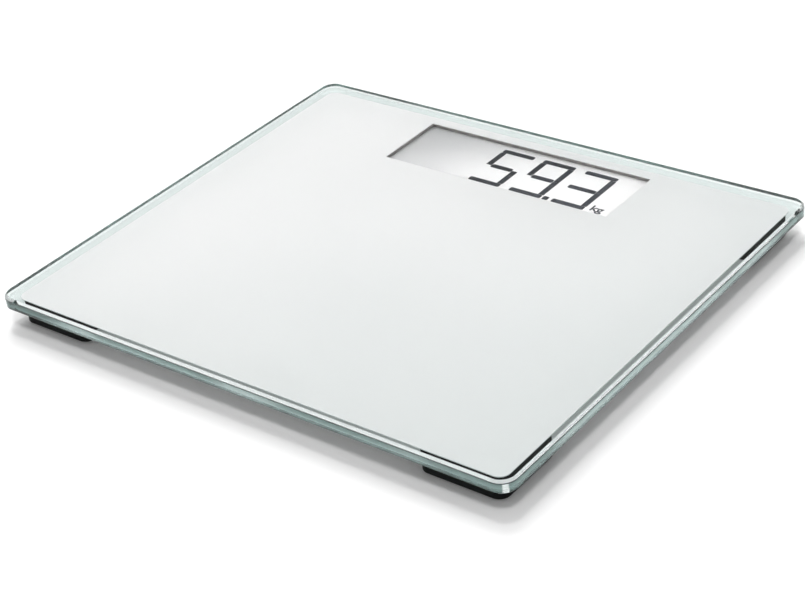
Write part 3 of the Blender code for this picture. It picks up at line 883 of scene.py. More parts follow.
def rounded_loop(
    length: float, width: float, radius: float, steps: int, centre: Point = (0.0, 0.0)
) -> list[Point]:
    """Returns the corners of a rounded rectangle, anticlockwise from above.

    Args:
        length: Its size along X.
        width: Its size along Y.
        radius: The radius of its corners.
        steps: Edges in each corner.
        centre: Its middle.

    Returns:
        4 * (steps + 1) points, the same number for every size, so two loops can be bridged.
    """
    points = []
    for turn, (sign_x, sign_y) in enumerate(((1, 1), (-1, 1), (-1, -1), (1, -1))):
        middle_x = centre[0] + sign_x * (length / 2 - radius)
        middle_y = centre[1] + sign_y * (width / 2 - radius)
        for step in range(steps + 1):
            angle = math.pi / 2 * (turn + step / steps)
            points.append((middle_x + radius * math.cos(angle), middle_y + radius * math.sin(angle)))
    return points


def linked(name: str, data: object) -> Object:
    """Makes an object and links it to the scene.

    Args:
        name: Its name.
        data: What it shows.

    Returns:
        The object.
    """
    made = bpy.data.objects.new(name, data)
    bpy.context.scene.collection.objects.link(made)
    return made


def from_mesh(name: str, mesh: bmesh.types.BMesh, materials: list[Material]) -> Object:
    """Makes an object of a mesh, which is used up.

    Args:
        name: The object's name.
        mesh: The mesh.
        materials: Its materials in the order of the faces' numbers.

    Returns:
        The object, linked to the scene.
    """
    data = bpy.data.meshes.new(name)
    mesh.to_mesh(data)
    mesh.free()
    for material in materials:
        data.materials.append(material)
    return linked(name, data)


def evaluated(made: Object) -> bpy.types.Mesh:
    """Turns an object's geometry, with its modifiers, into a plain mesh.

    Args:
        made: The object.

    Returns:
        The mesh.
    """
    bpy.context.view_layer.update()
    graph = bpy.context.evaluated_depsgraph_get()
    return bpy.data.meshes.new_from_object(made.evaluated_get(graph))


def shade_round(piece: Object, degrees: float) -> Object:
    """Shades a piece smooth, apart from its sharp edges.

    Args:
        piece: The piece.
        degrees: Edges that turn more than this stay sharp.

    Returns:
        The piece.
    """
    data = piece.data
    data.polygons.foreach_set("use_smooth", [True] * len(data.polygons))
    data.set_sharp_from_angle(angle=math.radians(degrees))
    return piece


class Shape:
    """A mesh under construction, with a material number for each face."""

    def __init__(self) -> None:
        """Starts an empty mesh."""
        self.mesh = bmesh.new()

    def ring(self, points: list[Point], level: float) -> list[bmesh.types.BMVert]:
        """Adds a closed ring of vertices at one level."""
        return [self.mesh.verts.new((x, y, level)) for x, y in points]

    def bridge(self, low: list, high: list, finish: int = 0) -> None:
        """Joins two rings of as many points with quads that face outwards as the rings rise.

        Args:
            low: The ring that comes first.
            high: The ring that comes next.
            finish: The faces' material number.
        """
        for index in range(len(low)):
            after = (index + 1) % len(low)
            face = self.mesh.faces.new((low[index], low[after], high[after], high[index]))
            face.material_index = finish

    def stack(self, rings: list[list], finishes: list[int]) -> None:
        """Closes a stack of rings to a solid.

        Args:
            rings: The rings in order.
            finishes: The material number of the first cap, of each band and of the last cap.
        """
        self.mesh.faces.new(rings[0][::-1]).material_index = finishes[0]
        for low, high, finish in zip(rings, rings[1:], finishes[1:]):
            self.bridge(low, high, finish)
        self.mesh.faces.new(rings[-1]).material_index = finishes[-1]

    def slab(self, points: list[Point], low: float, high: float) -> None:
        """Adds a flat closed plate with straight sides."""
        self.stack([self.ring(points, low), self.ring(points, high)], [0, 0, 0])

    def finish(self, name: str, materials: list[str], degrees: float, outwards: bool = True) -> Object:
        """Makes the object and shades what is round as round.

        Args:
            name: The piece's name.
            materials: Its materials in the order of the faces' numbers.
            degrees: Edges that turn more than this stay sharp.
            outwards: Whether to turn all faces outwards.

        Returns:
            The object, linked to the scene.
        """
        if outwards:
            bmesh.ops.recalc_face_normals(self.mesh, faces=self.mesh.faces)
        piece = from_mesh(name, self.mesh, [PALETTE.get(material) for material in materials])
        return shade_round(piece, degrees)


FLAT_DEGREES = 0.5
ROUNDED_DEGREES = 40.0
SMOOTH_DEGREES = 50.0


def softened(node: str, name: str, material: str, rounding: Rounding) -> Object:
    """Copies a CAD node with whole flat faces and rounds its edges as a mould or a press does.

    Args:
        node: The CAD node.
        name: The new piece's name.
        material: What it is made of.
        rounding: How its edges are rounded.

    Returns:
        The piece, not yet riding on anything.
    """
    mesh = bmesh.new()
    mesh.from_mesh(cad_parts[node].data)
    bmesh.ops.remove_doubles(mesh, verts=mesh.verts, dist=WELD)
    flat = math.radians(FLAT_DEGREES)
    bmesh.ops.dissolve_limit(mesh, angle_limit=flat, verts=mesh.verts, edges=mesh.edges)
    piece = from_mesh(name, mesh, [PALETTE.get(material)])
    bevel = piece.modifiers.new("rounding", "BEVEL")
    bevel.width, bevel.segments = rounding.value
    bevel.limit_method = "ANGLE"
    bevel.angle_limit = math.radians(ROUNDED_DEGREES)
    bevel.harden_normals = False
    data = evaluated(piece)
    piece.modifiers.clear()
    piece.data = data
    return shade_round(piece, SMOOTH_DEGREES)


def fit(piece: Object, body: str, slot: str, *nodes: str) -> None:
    """Fits a finished piece to its body and hides the CAD nodes that it stands for.

    Args:
        piece: The finished piece.
        body: The CAD body it moves with.
        slot: The record's material slot, which is not used.
        *nodes: The CAD nodes it covers.
    """
    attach(piece, body)
    if nodes:
        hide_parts(*nodes)
    LOG.info("%s rides on %s", piece.name, body)


@dataclass(frozen=True)
class Cover:
    """A CAD node that is shown in its own shape, with rounded edges."""

    node: str
    name: str
    slot: str
    material: str
    rounding: Rounding
    body: str = Body.PLATFORM.value

    def build(self, corner: str = "") -> None:
        """Builds the piece and fits it.

        Args:
            corner: The corner that stands for {0} in the names.
        """
        node = self.node.format(corner)
        piece = softened(node, self.name.format(corner), self.material, self.rounding)
        fit(piece, self.body.format(corner), self.slot, node)


@dataclass(frozen=True)
class SoftBox:
    """A soft box far off: where it stands, how wide it is, and what it adds to a white floor."""

    direction: tuple[float, float, float]
    inner_degrees: float
    outer_degrees: float
    share: float

    def level(self) -> float:
        """Works out the brightness of the box that gives its share.

        Returns:
            The brightness.
        """
        spread = math.radians((self.inner_degrees + self.outer_degrees) / 2)
        solid = 2 * math.pi * (1 - math.cos(spread))
        return self.share * math.pi / (solid * Vector(self.direction).normalized().z)


@dataclass
class Studio:
    """The floor, the soft light and the camera that the photograph was fitted with."""

    azimuth: float = 0.718461
    elevation: float = 0.559688
    roll: float = -0.122291
    distance: float = 1.019317
    target: tuple[float, float, float] = (0.033824, -0.04457, 0.0195)
    focal_pixels: float = 1952.756614
    image_width: float = 805.0
    sensor_width: float = 36.0
    floor_reach: float = 6.0
    world_level: float = 0.45
    boxes: tuple[SoftBox, ...] = (
        SoftBox((0.29, -0.28, 1.0), 3.0, 8.0, 0.22),
        SoftBox((-0.24, 0.26, 1.0), 2.5, 6.5, 0.20),
        SoftBox((-0.6, 0.66, 1.0), 6.0, 16.0, 0.25),
    )
    glass_level: float = 1.70
    window_level: float = 2.35
    window_depth: float = 3.5
    ceiling_level: float = 0.08
    ceiling_span: Point = (0.10, 0.32)
    sharp_degrees: float = 35.0

    def build(self) -> None:
        """Builds the whole studio, which shows colours as they are written."""
        bpy.context.scene.view_settings.view_transform = "Standard"
        self.add_camera()
        reach = self.floor_reach
        shape = Shape()
        corners = [(-reach, -reach), (reach, -reach), (reach, reach), (-reach, reach)]
        shape.mesh.faces.new(shape.ring(corners, 0.0))
        shape.finish("studio_floor", ["studio_floor"], self.sharp_degrees, outwards=False)
        self.add_world()
        LOG.info("studio is ready")

    def add_camera(self) -> None:
        """Stands the camera where the photograph was taken from."""
        flat = math.cos(self.elevation)
        back = Vector(
            (math.sin(self.azimuth) * flat, -math.cos(self.azimuth) * flat, math.sin(self.elevation))
        )
        right = (-back).cross(Vector((0, 0, 1))).normalized()
        up = right.cross(-back)
        turned_right = right * math.cos(self.roll) + up * math.sin(self.roll)
        turned_up = up * math.cos(self.roll) - right * math.sin(self.roll)
        place = Matrix((turned_right, turned_up, back)).transposed().to_4x4()
        place.translation = Vector(self.target) + back * self.distance
        camera = bpy.data.cameras.new("view")
        camera.sensor_width = self.sensor_width
        camera.lens = self.focal_pixels * self.sensor_width / self.image_width
        stand = linked("view", camera)
        stand.matrix_world = place
        bpy.context.scene.camera = stand

    def add_world(self) -> None:
        """Lights the scene from all round and from the soft boxes, and shows white behind the floor.

        What a ray meets goes by its kind: white for the camera, a dark ceiling for reflections,
        and more light for what lies under the glass, and more still under the window.
        """
        world = bpy.data.worlds.new("studio_light")
        bpy.context.scene.world = world
        world.use_nodes = True
        sheet = NodeSheet(world.node_tree)
        direction = sheet.add("ShaderNodeTexCoord").outputs["Generated"]
        light = self.world_level
        for box in self.boxes:
            towards = sheet.dot(direction, tuple(Vector(box.direction).normalized()))
            edge = [math.cos(math.radians(turn)) for turn in (box.outer_degrees, box.inner_degrees)]
            light = sheet.maths("ADD", sheet.step(towards, edge, (0.0, box.level())), light)
        mirrored = sheet.step(sheet.split(direction)[2], self.ceiling_span, (1.0, self.ceiling_level))
        through = sheet.ray("Is Transmission Ray")
        first = sheet.maths("LESS_THAN", sheet.ray("Diffuse Depth"), NEVER_YET)
        seen = sheet.maths("ADD", sheet.ray("Is Camera Ray"), through)
        white = sheet.maths("MULTIPLY", sheet.maths("MINIMUM", seen, 1.0), first)
        gloss = sheet.maths("MULTIPLY", sheet.ray("Is Glossy Ray"), first)
        inside = sheet.maths("SUBTRACT", sheet.maths("MINIMUM", through, 1.0), white)
        twice = sheet.maths("GREATER_THAN", sheet.ray("Transmission Depth"), self.window_depth)
        under_glass = sheet.choose(twice, self.glass_level, self.window_level)
        level = sheet.choose(sheet.maths("MAXIMUM", inside, 0.0), light, under_glass)
        level = sheet.choose(gloss, sheet.choose(white, level, 1.0), mirrored)
        background = world.node_tree.nodes["Background"]
        sheet.feed(background, "Color", rgba(WHITE))
        sheet.feed(background, "Strength", level)


@dataclass
class GlassTop:
    """The toughened plate, with the enamel fired on its underside and the clear display window."""

    length: float = 0.340
    width: float = 0.290
    corner_radius: float = 0.009
    arris: float = 0.00125
    low: float = 0.0115
    top: float = 0.0195
    print_border: float = 0.007
    print_radius: float = 0.006
    window_length: float = 0.155
    window_width: float = 0.0475
    window_radius: float = 0.0008
    window_y: float = 0.1075
    sheet_low: float = 0.0110
    sheet_top: float = 0.01145
    corner_steps: int = 20
    line_height: float = 0.00065
    sharp_degrees: float = 30.0

    def loop(self, inset: float, radius: float | None = None) -> list[Point]:
        """Gives the plate's outline, moved inwards.

        Args:
            inset: How far in.
            radius: The corner radius, or None to keep the corners parallel.

        Returns:
            The outline's points.
        """
        if radius is None:
            radius = self.corner_radius - inset
        return rounded_loop(self.length - 2 * inset, self.width - 2 * inset, radius, self.corner_steps)

    def window(self) -> list[Point]:
        """Returns the outline of the window in the print."""
        size = (self.window_length, self.window_width, self.window_radius)
        return rounded_loop(*size, self.corner_steps, (0.0, self.window_y))

    def build_plate(self) -> Object:
        """Builds the plate as one closed piece, whose print faces carry the enamel fused to them.

        Returns:
            The plate.
        """
        shape = Shape()
        ground = self.top - self.arris
        bands = (
            (self.window(), self.low, "clear_glass"),
            (self.loop(self.print_border, self.print_radius), self.low, "fused_enamel"),
            (self.loop(self.arris), self.low, "border_glass"),
            (self.loop(0.0), self.low + self.arris, "shaded_bevel_glass"),
            (self.loop(0.0), ground - self.line_height, "edge_glass"),
            (self.loop(0.0), ground, "shaded_ground_edge"),
            (self.loop(self.arris), self.top, "arris_glass"),
        )
        rings = [shape.ring(points, level) for points, level, _ in bands]
        finishes = [*(band[2] for band in bands), "clear_glass"]
        materials = list(dict.fromkeys(finishes))
        shape.stack(rings, [materials.index(finish) for finish in finishes])
        return shape.finish("glass_plate", materials, self.sharp_degrees)

    def build_print(self) -> Object:
        """Builds the back of the print, as it is seen from below.

        Returns:
            The print's back.
        """
        shape = Shape()
        outer = self.loop(self.print_border, self.print_radius)
        low, top = self.sheet_low, self.sheet_top
        places = ((self.window(), low), (outer, low), (outer, top), (self.window(), top))
        rings = [shape.ring(*place) for place in places]
        for here, ring in enumerate(rings):
            shape.bridge(ring, rings[(here + 1) % len(rings)])
        return shape.finish("enamel_back", ["enamel_back"], self.sharp_degrees)

    def build(self) -> None:
        """Builds the plate and its print, and fits them."""
        fit(self.build_plate(), Body.PLATFORM.value, "clear_glass", "glass_platform")
        fit(self.build_print(), Body.PLATFORM.value, "white_enamel", "print_layer")


class Segment(Enum):
    """The seven bars of a figure."""

    TOP = "a"
    RIGHT_HIGH = "b"
    RIGHT_LOW = "c"
    BOTTOM = "d"
    LEFT_LOW = "e"
    LEFT_HIGH = "f"
    MIDDLE = "g"


LIT_BARS = {"5": "afgcd", "9": "abcdfg", "3": "abcdg"}
LCD_GLASS = Cover("lcd_panel", "lcd_glass", "lcd", "lit_lcd_film", Rounding.BOARD)
FRAME = Cover("display_frame", "window_frame", "display_frame", "frame_plastic", Rounding.SQUARE)


@dataclass
class ReadOut:
    """The LCD in its grey frame, showing a plain weight."""

    lcd_top: float = 0.009
    ink_height: float = 0.00008
    figures: tuple[tuple[str, float], ...] = (("5", -0.0207), ("9", 0.00795), ("3", 0.0369))
    figure_low_y: float = 0.0874
    figure_width: float = 0.0226
    figure_height: float = 0.0394
    stroke: float = 0.00375
    gap: float = 0.00018
    nib: float = 0.0009
    fine_nib: float = 0.0003
    free_end: float = 0.0003
    point_place: Point = (0.0314, 0.0874)
    point_steps: int = 3
    unit_place: Point = (0.0622, 0.0894)
    unit_height: float = 0.0080
    unit_weight: float = 0.00014
    unit_stretch: float = 1.17
    unit_spacing: float = 0.95
    sharp_degrees: float = 20.0

    def blunt(self, start: float, end: float, corner: float) -> list[Point]:
        """Returns a bar along X from 0 to the stroke's height, with square, slightly round ends.

        Args:
            start: Where the bar starts.
            end: Where it ends.
            corner: The size of the cut corners.

        Returns:
            The bar's points, anticlockwise.
        """
        third = corner / 3
        rise = ((corner, 0.0), (third, third), (0.0, corner))
        fall = tuple((inset, self.stroke - level) for inset, level in reversed(rise))
        right = [(end - inset, level) for inset, level in (*rise, *fall)]
        left = [(start + inset, level) for inset, level in (*rise, *fall)]
        return [left[0], *right, *reversed(left[1:])]

    def bars(self, figure: str, left: float) -> list[list[Point]]:
        """Returns the lit bars of a figure, each cut back a hair where it meets an upright.

        Args:
            figure: The figure, as a digit.
            left: The figure's left edge.

        Returns:
            One outline for each bar, anticlockwise.
        """
        lit = {segment for segment in Segment if segment.value in LIT_BARS[figure]}
        wide, tall, stroke, gap = self.figure_width, self.figure_height, self.stroke, self.gap
        low = self.figure_low_y
        half = tall / 2
        shapes = []
        flats = (
            (Segment.BOTTOM, 0.0, Segment.LEFT_LOW, Segment.RIGHT_LOW),
            (Segment.MIDDLE, half - stroke / 2, Segment.LEFT_HIGH, Segment.RIGHT_LOW),
            (Segment.TOP, tall - stroke, Segment.LEFT_HIGH, Segment.RIGHT_HIGH),
        )
        for segment, level, left_side, right_side in flats:
            if segment not in lit:
                continue
            middle = segment is Segment.MIDDLE
            start = stroke + gap if middle and left_side in lit else self.free_end
            end = wide - stroke - gap if middle and right_side in lit else wide - self.free_end
            start = start if left_side in lit or middle else 2 * self.free_end
            points = self.blunt(start, end, self.nib)
            shapes.append([(left + x, low + level + y) for x, y in points])
        uprights = (
            (Segment.LEFT_LOW, 0.0, False),
            (Segment.LEFT_HIGH, 0.0, True),
            (Segment.RIGHT_LOW, wide - stroke, False),
            (Segment.RIGHT_HIGH, wide - stroke, True),
        )
        for segment, across, upper in uprights:
            if segment not in lit:
                continue
            start = half + gap / 2 if upper else stroke + gap
            end = tall - stroke - gap if upper else half - gap / 2
            points = self.blunt(start, end, self.fine_nib)
            shapes.append([(left + across + stroke - y, low + x) for x, y in points])
        return shapes

    def build_figures(self) -> Object:
        """Builds the lit bars, the point and the unit as one thin piece on the LCD.

        Returns:
            The piece.
        """
        shape = Shape()
        top = self.lcd_top + self.ink_height
        for figure, left in self.figures:
            for points in self.bars(figure, left):
                shape.slab(points, self.lcd_top, top)
        middle = tuple(low + self.stroke / 2 for low in self.point_place)
        dot = rounded_loop(self.stroke, self.stroke, self.nib, self.point_steps, middle)
        shape.slab(dot, self.lcd_top, top)
        figures = shape.finish("lit_figures", ["lcd_ink"], self.sharp_degrees, outwards=False)
        joined = bmesh.new()
        joined.from_mesh(figures.data)
        joined.from_mesh(self.unit_mesh())
        joined.to_mesh(figures.data)
        joined.free()
        return figures

    def unit_mesh(self) -> bpy.types.Mesh:
        """Builds the unit's two letters as flat closed shapes.

        Returns:
            The letters' mesh.
        """
        text = bpy.data.curves.new("unit_letters", "FONT")
        text.body = "kg"
        text.size = self.unit_height
        text.extrude = self.ink_height / 2
        text.offset = self.unit_weight
        text.space_character = self.unit_spacing
        drawn = linked("unit_letters", text)
        data = evaluated(drawn)
        bpy.data.objects.remove(drawn)
        mesh = bmesh.new()
        mesh.from_mesh(data)
        bmesh.ops.remove_doubles(mesh, verts=mesh.verts, dist=WELD)
        bmesh.ops.scale(mesh, verts=mesh.verts, vec=(self.unit_stretch, 1.0, 1.0))
        place = (*self.unit_place, self.lcd_top + self.ink_height / 2)
        bmesh.ops.translate(mesh, verts=mesh.verts, vec=place)
        mesh.to_mesh(data)
        mesh.free()
        return data

    def build(self) -> None:
        """Builds the read-out and fits it."""
        LCD_GLASS.build()
        fit(self.build_figures(), Body.PLATFORM.value, "lcd")
        FRAME.build()


class RepeatTree:
    """A Geometry Nodes tree with named inputs, which ends in real faces with a material."""

    def __init__(self, name: str, *inputs: str) -> None:
        """Makes the tree's sockets.

        Args:
            name: The tree's name.
            *inputs: Its inputs in order.
        """
        self.tree = bpy.data.node_groups.new(name, "GeometryNodeTree")
        self.tree.is_modifier = True
        add_sockets(self.tree, "INPUT", ("Geometry", *inputs, "Finish"))
        add_sockets(self.tree, "OUTPUT", ("Geometry",))
        self.sheet = NodeSheet(self.tree)
        self.source = self.sheet.add("NodeGroupInput").outputs

    def close(self, geometry: Socket) -> "RepeatTree":
        """Ends the tree.

        Args:
            geometry: The instances or mesh to hand out.

        Returns:
            The tree.
        """
        real = self.sheet.add("GeometryNodeRealizeInstances", Geometry=geometry)
        finish = self.source["Finish"]
        dressed = self.sheet.add("GeometryNodeSetMaterial", Geometry=real.outputs[0], Material=finish)
        self.sheet.add("NodeGroupOutput", Geometry=dressed.outputs[0])
        return self

    def make(
        self, name: str, material: str, start: Object | None = None, **values: object
    ) -> Object:
        """Runs the tree once.

        Args:
            name: The piece's name.
            material: What it is made of.
            start: An object whose geometry the tree follows, which is used up.
            **values: The inputs by name, with _ for a space.

        Returns:
            A plain mesh object.
        """
        start = start or linked(name, bpy.data.meshes.new(name))
        modifier = start.modifiers.new("repeat", "NODES")
        modifier.node_group = self.tree
        sockets = {s.name: s.identifier for s in self.tree.interface.items_tree if s.in_out == "INPUT"}
        for word, value in values.items():
            modifier[sockets[word.replace("_", " ")]] = value
        modifier[sockets["Finish"]] = PALETTE.get(material)
        data = evaluated(start)
        bpy.data.objects.remove(start)
        return linked(name, data)


def stud_tree() -> RepeatTree:
    """Builds the tree that sets a field of small tapered studs on their wide ends.

    Returns:
        The tree, whose studs stand at the given centre.
    """
    field = ("Centre", "Length", "Width", "Columns", "Rows")
    tree = RepeatTree("stud_field", *field, "Low radius", "High radius", "Height", "Sides")
    sheet, source = tree.sheet, tree.source
    grid = sheet.add(
        "GeometryNodeMeshGrid",
        Size_X=source["Length"],
        Size_Y=source["Width"],
        Vertices_X=source["Columns"],
        Vertices_Y=source["Rows"],
    )
    stud = sheet.add(
        "GeometryNodeMeshCone",
        Vertices=source["Sides"],
        Radius_Top=source["High radius"],
        Radius_Bottom=source["Low radius"],
        Depth=source["Height"],
    )
    points, shape = grid.outputs["Mesh"], stud.outputs["Mesh"]
    spread = sheet.add("GeometryNodeInstanceOnPoints", Points=points, Instance=shape)
    centre = source["Centre"]
    moved = sheet.add("GeometryNodeTransform", Geometry=spread.outputs[0], Translation=centre)
    return tree.close(moved.outputs[0])


def bar_tree() -> RepeatTree:
    """Builds the tree that lays a row of equal bars from a start, by a pitch.

    Returns:
        The tree.
    """
    tree = RepeatTree("bar_row", "Start", "Pitch", "Count", "Size")
    sheet, source = tree.sheet, tree.source
    line = sheet.add("GeometryNodeMeshLine", Count=source["Count"], Offset=source["Pitch"])
    sheet.feed(line, "Start Location", source["Start"])
    bar = sheet.add("GeometryNodeMeshCube", Size=source["Size"])
    points, shape = line.outputs[0], bar.outputs["Mesh"]
    row = sheet.add("GeometryNodeInstanceOnPoints", Points=points, Instance=shape)
    return tree.close(row.outputs[0])


def core_tree(sides: int) -> RepeatTree:
    """Builds the tree that twists one core of a cable round a curve.

    Args:
        sides: The core's sides.

    Returns:
        The tree.
    """
    tree = RepeatTree("twisted_core", "Core radius", "Core offset", "Phase", "Twist")
    sheet, source = tree.sheet, tree.source
    along = sheet.add("GeometryNodeSplineParameter").outputs["Length"]
    turn = sheet.maths("MULTIPLY_ADD", along, source["Twist"], source["Phase"])
    tilted = sheet.add("GeometryNodeSetCurveTilt", Curve=source["Geometry"], Tilt=turn)
    radius = source["Core radius"]
    profile = sheet.add("GeometryNodeCurvePrimitiveCircle", Resolution=sides, Radius=radius)
    shift = sheet.listed("ShaderNodeCombineXYZ", {}, source["Core offset"])
    ring, offset = profile.outputs[0], shift.outputs[0]
    moved = sheet.add("GeometryNodeTransform", Geometry=ring, Translation=offset)
    swept = sheet.add("GeometryNodeCurveToMesh", Curve=tilted.outputs[0], Fill_Caps=True)
    sheet.feed(swept, "Profile Curve", moved.outputs[0])
    smooth = sheet.listed("GeometryNodeSetShadeSmooth", {}, swept.outputs[0])
    return tree.close(smooth.outputs[0])


def merged(name: str, pieces: list[Object]) -> Object:
    """Joins plain mesh objects into one piece that keeps each one's materials.

    Args:
        name: The new piece's name.
        pieces: The objects, which are used up.

    Returns:
        The joined piece.
    """
    mesh = bmesh.new()
    materials = []
    for piece in pieces:
        start = len(materials)
        materials += list(piece.data.materials)
        count = len(mesh.faces)
        mesh.from_mesh(piece.data)
        mesh.faces.ensure_lookup_table()
        for face in mesh.faces[count:]:
            face.material_index += start
        bpy.data.objects.remove(piece)
    return from_mesh(name, mesh, materials)


FIXED_FOOT = (
    Cover("adhesive_pad_{0}", "foam_tape_{0}", "black_foam", "black_foam", Rounding.SQUARE),
    Cover("foot_housing_{0}", "foot_cup_{0}", "black_plastic", "black_plastic", Rounding.CUP),
    Cover("load_cell_{0}", "cell_plate_{0}", "steel", "plated_steel", Rounding.STAMPED),
    Cover("strain_gauge_{0}", "gauge_foil_{0}", "gauge_film", "gauge_foil", Rounding.FOIL),
    Cover("foot_plate_{0}", "foot_tray_{0}", "black_plastic", "black_plastic", Rounding.COVER, "foot_{0}"),
)


@dataclass
class Foot:
    """One foot: a black cup under the glass, its load cell, and the sole that touches the floor."""

    corner: str
    studs: RepeatTree
    reach_x: float = 0.1365
    reach_y: float = 0.115
    pad_length: float = 0.041
    pad_width: float = 0.036
    pad_radius: float = 0.0037
    pad_top: float = 0.0012
    least_radius: float = 0.0008
    corner_steps: int = 10
    edge: float = 0.0004
    edge_cut: float = 0.3
    tread_lean: float = 0.5
    tread_top: float = 0.0005
    tread_inset: float = 0.0034
    stud_radius: float = 0.0009
    stud_taper: float = 0.75
    stud_room: float = 1.7
    stud_sink: float = 0.1 * MM
    stud_sides: int = 8
    stud_columns: int = 15
    stud_rows: int = 13
    sharp_degrees: float = 40.0

    def build_sole(self) -> Object:
        """Builds the rubber sole: a rim, a sunk field and a grid of studs, which touch the floor.

        Returns:
            The sole.
        """
        end, side = self.corner.split("_")
        centre = (
            self.reach_x if side == "right" else -self.reach_x,
            self.reach_y if end == "back" else -self.reach_y,
        )
        shape = Shape()
        edge = self.edge
        levels = (
            (self.tread_inset, self.tread_top),
            (self.tread_inset - self.tread_lean * edge, 0.0),
            (edge, 0.0),
            (self.edge_cut * edge, self.edge_cut * edge),
            (0.0, edge),
            (0.0, self.pad_top),
        )
        rings = []
        for inset, level in levels:
            size = (self.pad_length - 2 * inset, self.pad_width - 2 * inset)
            radius = max(self.pad_radius - inset, self.least_radius)
            rings.append(shape.ring(rounded_loop(*size, radius, self.corner_steps, centre), level))
        shape.stack(rings, [0] * (len(rings) + 1))
        sole = shape.finish(f"sole_{self.corner}", ["black_rubber"], self.sharp_degrees)
        room = self.tread_inset + self.stud_room * self.stud_radius
        field_of_studs = self.studs.make(
            f"sole_studs_{self.corner}",
            "black_rubber",
            Centre=(*centre, 0.0),
            Length=self.pad_length - 2 * room,
            Width=self.pad_width - 2 * room,
            Columns=self.stud_columns,
            Rows=self.stud_rows,
            Low_radius=self.stud_taper * self.stud_radius,
            High_radius=self.stud_radius,
            Height=self.tread_top + self.stud_sink,
            Sides=self.stud_sides,
        )
        return merged(f"foot_sole_{self.corner}", [sole, field_of_studs])

    def build(self) -> None:
        """Builds the whole foot and fits it."""
        for cover in FIXED_FOOT:
            cover.build(self.corner)
        moving = f"foot_{self.corner}"
        fit(self.build_sole(), moving, "black_rubber", f"foot_pad_{self.corner}")


BOARD = Cover("circuit_board", "board_laminate", "circuit_board", "solder_mask", Rounding.BOARD)
BESIDE_CHIP = (
    Cover("tact_switch", "switch_body", "chip", "switch_plastic", Rounding.SWITCH),
    Cover("lcd_reflector", "reflector_sheet", "reflector", "reflector_film", Rounding.SHEET),
    Cover("lcd_ribbon", "seal_ribbon", "ribbon", "ribbon_film", Rounding.FOIL),
)


@dataclass
class Electronics:
    """The circuit board under the read-out, with what it carries and the ribbon to the LCD."""

    board_y: float = 0.06215
    chip_x: float = 0.061
    chip_size: float = 0.010
    pin_count: int = 12
    pin_pitch: float = 0.00072
    pin_size: tuple[float, float, float] = (0.0003, 0.0011, 0.0002)
    pin_middle: float = 0.0083

    def build_chip(self) -> Object:
        """Builds the controller: a rounded black package with a row of pins on two sides.

        Returns:
            The chip with its pins.
        """
        bars = bar_tree()
        pieces = [softened("controller_chip", "chip_body", "chip_resin", Rounding.MOULDED)]
        start_x = self.chip_x - self.pin_pitch * (self.pin_count - 1) / 2
        side = (self.chip_size + self.pin_size[1]) / 2
        for end, y in enumerate((self.board_y - side, self.board_y + side)):
            row = bars.make(
                f"chip_pins_{end}",
                "tinned_pins",
                Start=(start_x, y, self.pin_middle),
                Pitch=(self.pin_pitch, 0.0, 0.0),
                Count=self.pin_count,
                Size=self.pin_size,
            )
            pieces.append(row)
        return merged("controller_package", pieces)

    def build(self) -> None:
        """Builds the board and its parts and fits them."""
        BOARD.build()
        fit(self.build_chip(), Body.PLATFORM.value, "chip", "controller_chip")
        for cover in BESIDE_CHIP:
            cover.build()


UNDERSIDE = (
    Cover("coin_cell", "coin_can", "steel", "plated_steel", Rounding.STAMPED),
    Cover("battery_holder", "coin_ring", "black_plastic", "holder_plastic", Rounding.STAMPED),
    Cover("battery_contact_top", "contact_strip", "steel", "plated_steel", Rounding.SMALL),
    Cover("battery_contact_side", "contact_leaf", "steel", "plated_steel", Rounding.SMALL),
    Cover(
        "battery_door",
        "sliding_door",
        "white_plastic",
        "white_plastic",
        Rounding.MOULDED,
        Body.HATCH.value,
    ),
    Cover("electronics_housing", "tray_wall", "white_plastic", "white_plastic", Rounding.MOULDED),
    Cover("housing_cover", "tray_cover", "white_plastic", "white_plastic", Rounding.COVER),
)
SCREW = Cover("cover_screw_{0}", "cross_screw_{0}", "steel", "plated_steel", Rounding.SMALL)
BUTTON = Cover(
    "unit_button", "unit_key_cap", "grey_plastic", "grey_plastic", Rounding.KEY, Body.KEY.value
)
DUCT = Cover("wire_cover_{0}", "wire_duct_{0}", "white_plastic", "white_plastic", Rounding.MOULDED)


class Underside:
    """The housing under the read-out, with its battery bay, screws, button and wire covers."""

    def build(self) -> None:
        """Builds the underside and fits it."""
        for cover in UNDERSIDE:
            cover.build()
        for corner in CORNERS:
            SCREW.build(corner)
        BUTTON.build()
        for side in SIDES:
            DUCT.build(side)


